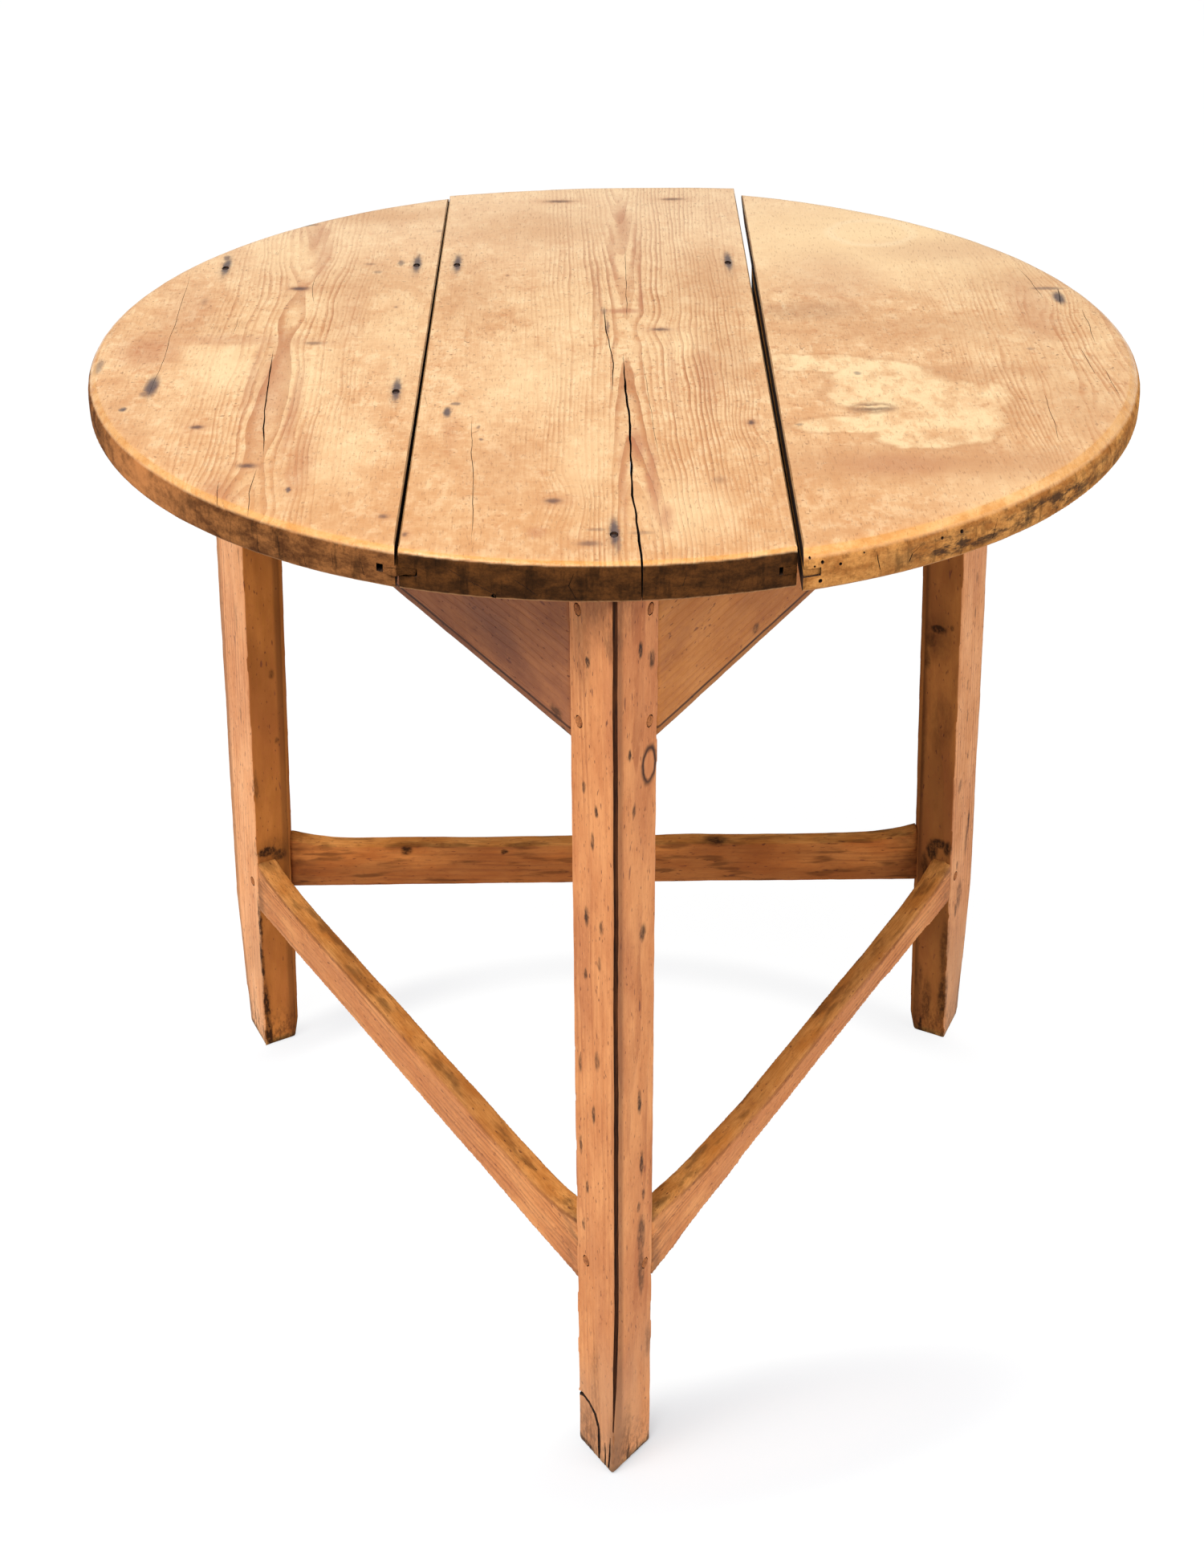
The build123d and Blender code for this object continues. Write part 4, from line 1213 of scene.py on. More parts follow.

# %% [markdown]
# The legs are full of small dark spots: bruises, worm, short splits, and
# patches by the joints and under the top that are part dirt and part painted
# shade. The front leg has most, because it is seen from closest.

# %% Spots on the legs, in mm
# On the outer faces, by leg and side: place along the side, height, half width
# and half height, strength
LEG_SPOTS = {
    ("front", "left"): [
        # The first three, large and high on the face, are part dirt and part painted shade under the top.
        (288, 676, 26, 30, 0.3), (266, 640, 9, 34, 0.22), (297, 652, 8, 14, 0.4),
        (284, 20, 13, 24, 0.35), (281, 3, 11, 4, 1), (272, 5, 4, 3, 0.9), (293, 66, 6, 40, 0.25),
        (272, 626, 2.5, 3.5, 1), (260, 655, 4, 6, 0.25), (269, 539, 2, 4, 0.8), (284, 529, 2, 4, 0.9),
        (280, 506, 2, 6, 0.8), (274, 448, 2.5, 7, 0.9), (292, 449, 2, 5, 0.7), (290, 421, 2, 5, 0.6),
        (273.5, 404, 2, 4, 0.8), (286, 300, 2, 7, 0.8), (289, 345, 3, 7, 0.6), (268, 330, 1.8, 7, 0.7),
        (270, 265, 1.8, 7, 0.8), (279, 235, 1.8, 5, 0.8), (275, 200, 2, 4, 0.8),
    ],
    ("front", "right"): [
        (-303, 30, 5, 30, 0.35), (-286, 2, 11, 2, 0.9), (-300, 7, 2.5, 9, 0.7), (-276, 5, 3, 3, 0.6),
        (-276, 96, 4, 14, 0.4), (-273, 634, 2.5, 5, 1), (-259, 622, 3.5, 6, 0.8), (-288, 570, 2, 4, 0.9),
        (-275, 436, 4, 6, 0.8), (-284, 529, 2, 4, 0.8), (-283, 308, 2.5, 9, 0.9),
        (-281, 256, 2.5, 9, 0.9), (-279, 228, 2, 4, 0.9), (-286, 222, 2, 4, 0.7),
        (-283, 196, 5, 16, 0.7), (-284, 165, 4.5, 20, 0.65), (-270, 122, 2, 3, 0.9),
    ],
    ("rear_right", "right"): [
        (287, 445, 1.6, 5, 0.6), (288, 413, 1.6, 5, 0.5), (280, 351, 1.6, 5, 0.5),
        (285, 319, 1.6, 5, 0.5), (291, 280, 1.6, 4, 0.5), (277, 257, 3, 6, 0.5),
        (302, 211, 2.2, 10, 0.8), (299, 193, 3, 14, 0.5), (281, 177, 1.6, 4, 0.6),
        (290, 143, 5, 13, 0.55), (284, 130, 3, 6, 0.7), (271, 560, 1.8, 6, 0.5), (268, 620, 1.8, 6, 0.5),
    ],
    ("rear_left", "left"): [
        (-271, 600, 1.8, 6, 0.4), (-262, 480, 1.6, 7, 0.4), (-280, 330, 1.8, 7, 0.4),
        (-268, 210, 1.8, 6, 0.4), (-276, 420, 3, 12, 0.25),
    ],
}
# On the shoulders that face the room: the side and its end, then the depth
# behind the outer face, height, half width and half height, strength
# The patches about 200 mm up, where the stretchers' upper edges meet the shoulders, are part soot and part
# painted shade.
SHOULDER_SPOTS = {
    "rear_left": ("left", 0, [
        (10, 203, 9, 5, 1), (21, 197, 7, 6, 0.85), (15, 200, 16, 14, 0.35), (0.6, 132, 1.8, 24, 0.9),
        (1, 92, 1.8, 24, 0.9), (3, 46, 2.8, 24, 1), (4, 12, 3.2, 16, 1), (21, 371, 2.4, 4, 0.7),
        (23, 308, 2, 3, 0.7), (2.7, 270, 2, 14, 0.5), (12, 520, 3, 5, 0.4),
    ]),
    "rear_right": ("right", 1, [
        (19.6, 406, 7, 4, 1), (25.6, 395, 5, 8, 0.7), (28, 377, 3, 9, 0.6), (8, 410, 2, 3, 0.6),
        (22, 398, 13, 20, 0.3), (24, 178, 3.4, 14, 0.8), (18, 194, 5, 9, 1), (11.8, 203, 8, 4.5, 1),
        (4, 200, 3.4, 7, 0.95), (3.4, 96, 3.6, 30, 0.6), (3, 46, 4, 24, 0.8), (18, 39, 4, 22, 0.6),
        (26, 60, 4, 18, 0.4), (22.7, 8, 1.7, 11, 1), (14, 320, 9, 26, 0.3), (30, 300, 4, 60, 0.3),
    ]),
}
# A knot that shows as a ring: side, place, height, half width, half height
KNOT_RING = ("right", -264, 552, 9.5, 13.5)
KNOT_LINE = (3, 3.6)


def leg_spots(name):
    """The leg's spots as points of the frame, with their half sizes and strengths."""
    spots = []
    for (leg, side), rows in LEG_SPOTS.items():
        if leg == name:
            end = SIDE_LEGS[side].index(name)
            spots += [(on_face(side, end, t * mm, z * mm), (w, h), s) for t, z, w, h, s in rows]
    if name in SHOULDER_SPOTS:
        side, end, rows = SHOULDER_SPOTS[name]
        spots += [(on_shoulder(side, end, depth * mm, z * mm), (w, h), s) for depth, z, w, h, s in rows]
    return spots


print("spots:", {name: len(leg_spots(name)) for name in LEG_ANGLES})

# %% [markdown]
# Each leg gets its own bench, because the grain runs its own way in each: run
# is the height, across goes round the leg and depth goes in from the outer
# corner. A dark band lies beside the corner's groove and over the middle of the
# foot.

# %% Wood of the legs
def facing_along(bench, side):
    """1 where a face looks straight out of this side of the table, -1 where it looks in."""
    normal = heading(SIDE_ANGLES[side])
    return bench.facing_x * normal.x + bench.facing_y * normal.y


def leg_wood(name):
    """The finish of one leg. Its two outer faces belong to the sides that meet at it."""
    bench = Bench(f"frame_wood_leg_{name}")
    outward = heading(LEG_ANGLES[name])
    x, y, run = bench.x / mm, bench.y / mm, bench.z / mm
    start = FRAME_CENTRE / mm
    radial = (x - start.x) * outward.x + (y - start.y) * outward.y
    across = (y - start.y) * outward.x - (x - start.x) * outward.y
    depth = ARRIS_RADIUS / mm + (UNDERSIDE / mm - run) * SPLAY - radial
    first, second = [side for side, pair in SIDE_LEGS.items() if name in pair]
    outer = facing_along(bench, first).most(facing_along(bench, second)).step(0.3, 0.7)
    soot_and_painted_shade = (1 - run.step(30, 75)) * (1 - abs(across).step(2, 8)) * 0.9
    soot_and_painted_shade = soot_and_painted_shade.most((1 - abs(across - 1.4).step(1.6, 4.6)) * 0.8)
    if name == "front":
        side, t, z, width, height = KNOT_RING
        centre = side_point(side, t * mm, 0, z * mm)
        close = ragged(bench, bench.place, 1.5 * mm, 7 * mm)
        within = (width - KNOT_LINE[0], height - KNOT_LINE[1])
        inside = places_on(bench, close, [(centre, within, 1)], 0.2)
        knot = places_on(bench, close, [(centre, (width, height), 1)], 0.2) - inside
        soot_and_painted_shade = soot_and_painted_shade.most(knot * 2)
    face = FrameFace(run, across + 40 * LEG_ANGLES[name] / 90, depth, outer)
    return frame_wood(face, LEG_TONES[name], leg_spots(name), soot_and_painted_shade * 0.75, foot=True)


LEG_WOOD = {name: leg_wood(name) for name in LEG_ANGLES}
print("leg materials:", [material.name for material in LEG_WOOD.values()])

# %% [markdown]
# A rail's grain runs along its side. An apron darkens in clouds towards the
# top, and a stretcher near the legs and in streaks on its inner face. A thin
# dark line with a browner strip under it runs along the planed lower edge of an
# apron: dirt, and the painted shade of its bevel.

# %% Wood of the rails
EDGE_STRIP_TOP = 8.8
EDGE_LINE_TOP = 10.4
STRETCHER_LOWS = {"left": 145.5 * mm, "right": 148 * mm, "rear": 153.5 * mm}
# Spots as place along the side, height, half width and half height, strength
APRON_SPOTS = [(235, 575, 7, 4, 0.7), (244, 566, 4, 3, 0.8), (-117, 579, 5, 3, 0.7)]
REAR_STRETCHER_SPOTS = [
    (168, 189, 5, 4, 1), (208, 197, 4, 3, 1), (85, 187, 3, 2, 1), (-95, 196, 11, 4, 1), (20, 190, 4, 3, 1),
]


def rail_face(bench, side, face_height):
    """Along a rail, up it and behind its face at this height, in mm."""
    direction, normal = along(side), heading(SIDE_ANGLES[side])
    x, y = (bench.x - FRAME_CENTRE.x) / mm, (bench.y - FRAME_CENTRE.y) / mm
    run = x * direction.x + y * direction.y
    behind = face_distance(face_height) / mm - (x * normal.x + y * normal.y)
    return FrameFace(run, bench.z / mm, behind, facing_along(bench, side).step(0.2, 0.75))


def rail_spots(side, depth, rows):
    return [(side_point(side, t * mm, depth, z * mm), (w, h), s) for t, z, w, h, s in rows]


def apron_wood(side):
    bench = Bench(f"frame_wood_apron_{side}")
    face = rail_face(bench, side, UNDERSIDE)
    height = face.across
    low = UNDERSIDE / mm - APRON_DEPTH / mm
    cloud = bench.cloud(face.run / 40, height / 12, 2.5, 3.0)
    soot_and_painted_shade = height.step(low + 60, low + 118) * cloud.step(0.35, 0.7) * 0.4
    # The browner strip and the dark line at the lower edge: dirt and painted shade of the bevel.
    lower_edge_dirt_and_shade = 1 - height.step(low + 7.8, low + EDGE_STRIP_TOP)
    edge_line_dirt_and_shade = height.step(low + 7.4, low + 8.4) * (1 - height.step(low + 9.2, low + EDGE_LINE_TOP))
    soot_and_painted_shade = soot_and_painted_shade.most(lower_edge_dirt_and_shade * face.outer * 0.45).most(edge_line_dirt_and_shade * face.outer * 1.3)
    return frame_wood(face, APRON_TONES[side], rail_spots(side, 0, APRON_SPOTS), soot_and_painted_shade, 6.0)


def stretcher_reach(side):
    """From the middle of a side to the shoulder, at its stretcher's lower edge."""
    low = STRETCHER_LOWS[side]
    return leg_radius(low) * cos(radians(KITE_ANGLE)) - leg_face(low)


def stretcher_wood(side):
    bench = Bench(f"frame_wood_stretcher_{side}")
    face = rail_face(bench, side, STRETCHER_LOWS[side])
    run, height, behind = face.run, face.across, face.depth
    reach = stretcher_reach(side) / mm
    near_leg = abs(run).step(reach - 34, reach - 2)
    cloud = bench.cloud(run / 16, height / 9, behind / 9, 3.0)
    soot_and_painted_shade = near_leg * cloud.step(0.35, 0.65) * 0.7
    streak = bench.cloud(run / 42, height / 7, behind / 9 + 5, 3.0).step(0.52, 0.66)
    soot_and_painted_shade = soot_and_painted_shade.most(streak * (1 - face.outer) * 0.72)
    rows = REAR_STRETCHER_SPOTS if side == "rear" else []
    spots = rail_spots(side, STRETCHER_THICKNESS, rows)
    return frame_wood(face, STRETCHER_TONES, spots, soot_and_painted_shade, 5.0, gold=0.85)


APRON_WOOD = {side: apron_wood(side) for side in SIDE_ANGLES}
STRETCHER_WOOD = {side: stretcher_wood(side) for side in SIDE_ANGLES}
print("rail materials:", len(APRON_WOOD) + len(STRETCHER_WOOD))

# %% [markdown]
# ## The three boards of the top
# The joiner glued three wide pine boards edge to edge, with a loose tongue in
# each joint, and cut them to a circle. The middle board has since shrunk and
# crept back, so its two ends no longer lie on one circle.

# %% Joint lines, as places at the back and at the front of the rim
JOINTS = {
    "left_outer": (-124.35 * mm, -130.75 * mm),
    "left_inner": (-123.65 * mm, -128.45 * mm),
    "right_inner": (105.6 * mm, 100.8 * mm),
    "right_outer": (110.8 * mm, 104.0 * mm),
}
MIDDLE_BACK_PROUD = (5.5 * mm, 0.5 * mm, 13 * mm)
MIDDLE_FRONT_SHORT = (0.5 * mm, 3.5 * mm, 7 * mm)


def circle_through(first, second, third):
    """Centre and radius of the circle through three points."""
    (ax, ay), (bx, by), (cx, cy) = first, second, third
    spread = 2 * (ax * (by - cy) + bx * (cy - ay) + cx * (ay - by))
    a, b, c = ax * ax + ay * ay, bx * bx + by * by, cx * cx + cy * cy
    x = (a * (by - cy) + b * (cy - ay) + c * (ay - by)) / spread
    y = (a * (cx - bx) + b * (ax - cx) + c * (bx - ax)) / spread
    return x, y, hypot(ax - x, ay - y)


def end_circle(end, shifts):
    """The circle of the middle board's back or front end. end is 1 or -1."""
    lines = JOINTS["left_inner"], JOINTS["right_inner"]
    xs = [lines[0][end < 0], 0, lines[1][end < 0]]
    return circle_through(*[
        (x, end * (TOP_RADIUS ** 2 - x ** 2) ** 0.5 + shift) for x, shift in zip(xs, shifts)
    ])


back_circle = end_circle(1, MIDDLE_BACK_PROUD)
front_circle = end_circle(-1, MIDDLE_FRONT_SHORT)
print("the middle board's ends curve at", round(back_circle[2] / mm), "and", round(front_circle[2] / mm))

# %% [markdown]
# Each board starts as a disc with a soft rim, is sawn a few millimetres past its
# joint lines and is weathered. The middle board is two half discs, which the
# even skin melts into one. The right board has crept away from its joint, so its
# disc lies a little to the right.

# %% Blanks for the boards
DISC_SIDES = 224
HALF_HEIGHT = (UNDERSIDE + TABLE_HEIGHT) / 2
RIM_LOWER = 4 * mm
RIGHT_CREPT = 3.5 * mm
SKIN = 2.4 * mm
BOARD_WEAR = (0.5 * mm, 0.24 * mm)
LEFT_ROUGH, RIGHT_ROUGH = -118 * mm, 96 * mm
MIDDLE_ROUGH = (-136 * mm, 114 * mm)


def disc(board, x, y, radius):
    """A round blank with a soft rim, bigger above than below."""
    place = TOP_CENTRE + Vector((x, y, HALF_HEIGHT))
    piece = added(bpy.ops.mesh.primitive_cylinder_add, vertices=DISC_SIDES, radius=radius,
                  depth=TOP_THICKNESS, location=place)
    piece.name = f"board_{board}"
    settle(piece)
    ease_edges(piece, lambda a, b: min(a.z, b.z) > HALF_HEIGHT, TOP_MARKS[board]["round"] * mm, 5)
    ease_edges(piece, lambda a, b: max(a.z, b.z) < HALF_HEIGHT, RIM_LOWER, 3)
    return piece


def trim(piece, place, outward):
    """Saw a disc roughly to a board's width. outward is 1 to drop what is right of the place."""
    saw(piece, TOP_CENTRE + Vector((place, 0, 0)), Vector((outward, 0, 0)))


def centre_blank():
    """The middle board's two ends, as halves of two discs."""
    halves = []
    for end, circle in ((1, back_circle), (-1, front_circle)):
        half = disc("centre", *circle)
        saw(half, TOP_CENTRE - Vector((0, end * SKIN, 0)), Vector((0, -end, 0)))
        trim(half, MIDDLE_ROUGH[0], -1)
        trim(half, MIDDLE_ROUGH[1], 1)
        halves.append(half)
    return join(halves)


boards = {
    "left": disc("left", 0, 0, TOP_RADIUS),
    "centre": centre_blank(),
    "right": disc("right", RIGHT_CREPT, 0, TOP_RADIUS),
}
trim(boards["left"], LEFT_ROUGH, 1)
trim(boards["right"], RIGHT_ROUGH, -1)
for name, board in boards.items():
    weather(board, SKIN, *BOARD_WEAR)
    print(board.name, "skinned with", len(board.data.polygons), "faces")

# %% [markdown]
# Joints, splits and holes are cut after the skin, so that their edges stay
# crisp. The faces that a cutter leaves take the cutter's own material, and so
# each split reads as a dark line without being painted.

# %% Grime for splits and holes, and the dark walls of the joints
grime_bench = Bench("old_grime")
speck = grime_bench.cloud(grime_bench.x * 700, grime_bench.y * 120, grime_bench.z * 700)
grime = grime_bench.finish(
    grime_bench.blend(speck.step(0.35, 0.7), linear(22, 14, 10), linear(74, 46, 28)),
    speck * 0.2 + 0.75, speck, 0.2 * mm)
wall_bench = Bench("joint_wall")
wall_run = (wall_bench.y - TOP_CENTRE.y) / mm
wall_soil = wall_bench.cloud(wall_run / 30, wall_bench.z / mm / 5, 0.5, 4.0, 0.7)
wall = wall_bench.finish(
    wall_bench.blend(wall_soil.step(0.35, 0.68), linear(26, 15, 9), linear(84, 52, 30)),
    wall_soil * 0.2 + 0.7, wall_soil, 0.3 * mm)
print("made", grime.name, "and", wall.name)

# %% Splits in the boards
# board: the points along a split, then its width and depth, and how open its far end is
SPLITS = {
    "left": [
        ([(-231, -9), (-229, -60), (-226, -120), (-219, -195)], 1.0, 7, 0),
        ([(-221, -213), (-222, -250), (-219, -285)], 0.6, 4, 0.3),
        ([(-242, -231), (-239, -283)], 0.55, 4, 0.3),
        ([(-308, 158), (-306, 60), (-304, -23), (-305, -104)], 0.5, 2.5, 0),
        ([(-263, 60), (-262, 20)], 0.4, 2, 0),
        ([(-214, 150), (-216, 118), (-211, 80)], 0.45, 2, 0),
    ],
    "centre": [
        ([(14, 205), (13, 130), (12, 42)], 0.55, 3, 0),
        ([(-4, 80), (-3, 20), (1, -40), (-1, -95)], 0.95, 6, 0),
        ([(8, -22), (8, -91), (9.5, -150), (9, -171), (8, -258), (10, -305), (12, -357)], 1.5, 30, 1.0),
        ([(21, -31), (24, -144), (26, -205)], 0.4, 2, 0),
        ([(-92, -126), (-90, -190), (-87, -258), (-86, -325)], 0.6, 3, 0.3),
        ([(-124, -90), (-121, -112)], 0.5, 2, 0),
    ],
    "right": [
        ([(326, 104), (322, 66)], 1.0, 4, 0),
        ([(304, 149), (308, 118), (312, 80)], 0.6, 3, 0),
        ([(335, 60), (334, 25), (332, -12)], 0.6, 3, 0),
        ([(320, -16), (321, -72)], 0.5, 3, 0),
        ([(329, -57), (330, -108)], 0.5, 2.5, 0),
        ([(282, -98), (280, -140), (277, -183)], 0.5, 2.5, 0),
    ],
}
for name, splits in SPLITS.items():
    print(name, "board:", len(splits), "splits, the widest", max(split[1] for split in splits), "mm")

# %% [markdown]
# The rims have short cracks and worm holes of their own, given by the angle
# round the top and the height. Each nail has drawn a hollow over its head.

# %% Cracks, holes and pits
# Cracks in the rims: points as (angle, height), width, depth
RIM_CRACKS = {
    "left": [
        ([(-127.1, 697), (-127.2, 679)], 0.7, 3), ([(-124.5, 696), (-124.4, 683)], 0.7, 3),
        ([(-118.2, 697), (-118.1, 686)], 0.6, 3), ([(-115.2, 697), (-114.8, 684)], 0.6, 3),
        ([(-130.5, 698), (-131, 680)], 0.6, 3), ([(-136, 698), (-135.8, 684)], 0.6, 3),
        ([(-121.5, 690), (-121.3, 681)], 0.5, 2),
    ],
    "centre": [
        ([(-106.4, 697), (-105.5, 694), (-103.2, 687), (-101.9, 683), (-101.6, 676)], 0.7, 4),
        ([(-101.4, 685), (-99.9, 692.5), (-98.8, 688), (-97.8, 683)], 0.6, 3),
        ([(-94.4, 698), (-94.9, 690), (-94.2, 681)], 0.6, 3), ([(-84, 697), (-84.4, 688)], 0.5, 3),
    ],
    "right": [
        ([(-65.5, 697), (-65.4, 692), (-65.1, 685)], 0.7, 3),
        ([(-60.2, 696), (-61.6, 690.5), (-61.9, 686)], 0.8, 3), ([(-51, 696), (-51.6, 684)], 0.6, 3),
    ],
}
# Worm holes and a nick in the rims: (angle, height), radius
WORM_HOLES = {
    "left": [],
    "centre": [((-101.9, 681), 1.6)],
    "right": [((-72.3, 699.4), 0.8), ((-71.1, 696.3), 1.1), ((-69.3, 693.6), 1), ((-71.3, 685), 1.3),
              ((-71.9, 694.5), 0.7), ((-66.8, 697.5), 0.6), ((-58.1, 695.1), 1), ((-55.7, 695.4), 1.3)],
}
WORM_DEPTH = 4 * mm
PIT_SIDES = 9
NAIL_PIT_RADIUS, NAIL_PIT_DEPTH = 2.6 * mm, 2 * mm
NAIL_PIT_STRETCH = 1.7


def rim_point(board, angle, z, reach=0.0):
    """A point of the rim. The middle board's front end lies a little further in."""
    place = TOP_CENTRE + heading(angle) * (TOP_RADIUS + reach) + Vector((0, 0, z))
    if board == "centre":
        place.y += MIDDLE_FRONT_SHORT[1]
    return place


def rim_crack(board, points, width, depth):
    """A thin wedge along points of the rim."""
    spots = quarter_steps(points)

    def lay(ring, u, v):
        angle, z, _ = spots[ring]
        half = width * min(1, 0.3 + ring / 5) / 2 * (1 if u > 0 else 0.3)
        half *= 1 + 0.4 * noise.noise(spots[ring] * 0.9)
        turn = v * half / (TOP_RADIUS / mm * radians(1))
        return rim_point(board, angle + turn, z * mm, 3 * mm if u > 0 else -depth * mm)

    return stepped_bar("rim_crack", len(spots) - 1, lay, grime)


def pit(place, radius, depth, outward=Vector((0, 0, 1))):
    """A shallow round hole cut in along -outward, with nine rough sides."""
    cutter = added(bpy.ops.mesh.primitive_cylinder_add, vertices=PIT_SIDES, radius=radius, depth=2 * depth)
    cutter.rotation_euler = outward.to_track_quat("Z", "Y").to_euler()
    cutter.location = place
    settle(cutter)
    cutter.data.materials.append(grime)
    return cutter


def nail_pit(top):
    """The narrow hollow over a nail's head, longer along the grain."""
    cutter = pit(top, NAIL_PIT_RADIUS, NAIL_PIT_DEPTH)
    for vertex in cutter.data.vertices:
        vertex.co.y = top.y + (vertex.co.y - top.y) * NAIL_PIT_STRETCH
    return cutter


print("worm holes:", sum(len(holes) for holes in WORM_HOLES.values()))

# %% [markdown]
# The joints need three cutters: a bar that leaves a straight face, a groove
# for the loose tongue, and a wedge for the edge that leans away at the back.

# %% Cutters for the joints
TONGUE_THICKNESS = 5 * mm
GROOVE_REACH = 12 * mm
BAR_REACH = 1.2


def groove_cutter(joint):
    """The groove that a joint's loose tongue lies in, through to both rims."""
    lines = [JOINTS[f"{joint}_outer"], JOINTS[f"{joint}_inner"]]
    back = sum(line[0] for line in lines) / 2
    front = sum(line[1] for line in lines) / 2
    reach = TOP_RADIUS + 20 * mm
    cutter = block("groove", (-GROOVE_REACH, -reach, HALF_HEIGHT - TONGUE_THICKNESS / 2),
                   (GROOVE_REACH, reach, HALF_HEIGHT + TONGUE_THICKNESS / 2))
    slope = (back - front) / (2 * TOP_RADIUS)
    for vertex in cutter.data.vertices:
        vertex.co += TOP_CENTRE + Vector(((back + front) / 2 + slope * vertex.co.y, 0, 0))
    return cutter


def joint_bar(joint, outward, near, far, material):
    """A long bar beside a joint line. near and far are two corners, as (off the line, height)."""
    back, front = JOINTS[joint]
    middle = TOP_CENTRE + Vector(((back + front) / 2, 0, 0))
    half = Vector(((back - front) / 2, TOP_RADIUS, 0)) * BAR_REACH
    start, end = middle + half, middle - half
    run = end - start
    off = Vector((-run.y, run.x, 0)).normalized() * outward
    corners = {(-1, -1): near[0], (1, -1): near[1], (-1, 1): far[0], (1, 1): far[1]}

    def lay(ring, u, v):
        away, height = corners[(u, v)]
        return start.lerp(end, ring) + off * away + Vector((0, 0, height))

    return stepped_bar("joint_bar", 1, lay, material)


# Behind the apron the right board's edge leans away below, and light shows there
UNDERCUT = 3.4 * mm
UNDERCUT_STEPS = 16
UNDERCUT_FROM, UNDERCUT_FULL, UNDERCUT_TO = 176 * mm, 200 * mm, 380 * mm


def undercut(material):
    """A wedge beside the right joint, thin above and thick below."""
    back, front = JOINTS["right_outer"]

    def lay(ring, u, v):
        y = UNDERCUT_FROM + (UNDERCUT_TO - UNDERCUT_FROM) * ring / UNDERCUT_STEPS
        edge = (back + front) / 2 + (back - front) / 2 * y / TOP_RADIUS
        lean = UNDERCUT * min(1, (y - UNDERCUT_FROM) / (UNDERCUT_FULL - UNDERCUT_FROM))
        away = -6 * mm if u < 0 else -0.3 * mm if v > 0 else lean
        height = TABLE_HEIGHT - 1.5 * mm if v > 0 else UNDERSIDE - 2 * mm
        return TOP_CENTRE + Vector((edge + away, y, height))

    return stepped_bar("undercut", UNDERCUT_STEPS, lay, material)


print("the undercut leans", UNDERCUT / mm, "mm")

# %% [markdown]
# Each board is cut down to its joint lines first, and the sharp upper edge
# there is eased. Then come splits, cracks, holes and pits together, and last
# the undercut and the grooves.

# %% Cutting the boards
# Each joint line: the board, the line, and the side of it that is dropped
EDGES = [("left", "left_outer", 1), ("centre", "left_inner", -1), ("centre", "right_inner", 1),
         ("right", "right_outer", -1)]
ARRIS = 0.9 * mm
WASTE = 60 * mm
for name, board in boards.items():
    board.data.materials.append(BOARD_WOOD[name])
for name, joint, outward in EDGES:
    low, high = UNDERSIDE - 10 * mm, TABLE_HEIGHT + 10 * mm
    face = ((0, low), (WASTE, low)), ((0, high), (WASTE, high))
    carve(boards[name], [joint_bar(joint, outward, *face, wall)])
    ease = ((-ARRIS, TABLE_HEIGHT), (2 * mm, TABLE_HEIGHT - ARRIS - 2 * mm))
    ease_top = ((-ARRIS - 3 * mm, TABLE_HEIGHT + 3 * mm), (5 * mm, TABLE_HEIGHT + 3 * mm))
    carve(boards[name], [joint_bar(joint, outward, ease, ease_top, BOARD_WOOD[name])])
for name, splits in SPLITS.items():
    cutters = []
    for i, (points, width, depth, rim) in enumerate(splits):
        cutters.append(split_cutter(f"split_{name}_{i}", points, width * mm, depth * mm, rim, grime))
    cutters += [rim_crack(name, *crack) for crack in RIM_CRACKS[name]]
    for (angle, z), radius in WORM_HOLES[name]:
        cutters.append(pit(rim_point(name, angle, z * mm), radius * mm, WORM_DEPTH, heading(angle)))
    if name != "right":
        cutters += [nail_pit(top) for top in NAILS[name]]
    carve(boards[name], cutters)
carve(boards["right"], [undercut(wall)])
for board, joint in (("left", "left"), ("centre", "left"), ("centre", "right"), ("right", "right")):
    cutter = groove_cutter(joint)
    cutter.data.materials.append(grime)
    carve(boards[board], [cutter])
for name, board in boards.items():
    dress(board, "top_wood", f"top_board_{name}")

# %% [markdown]
# ## The legs
# Each leg is sawn from one square post. Its section is a kite: a 60 degree
# outer corner, so that two legs and the rails between them share one flat
# face, and square shoulders where the rails butt. Four long cuts make the
# kite, and two more make the worn outer corner of the foot. The edges round
# the bottom are worn away by two centuries of stone floors, so they are eased
# more than the long ones.

# %% Legs
LEG_SKIN = 1.5 * mm
LEG_WEAR = (0.4 * mm, 0.2 * mm)
BLANK_MARGIN = 5 * mm
LONG_EDGE, LONG_EASE = 400 * mm, 0.6 * mm
# The shoulders, planes 1 and 2 of the kite, start a little proud
SHOULDER_PLANES, SPARE = (1, 2), 0.8 * mm
# At the floor the front leg's left shoulder stands further out
FOOT_SPARE = {("front", 2): 3.6 * mm}
FOOT_ROUND = {"front": 1.6 * mm, "rear_right": 2.6 * mm, "rear_left": 2.6 * mm}


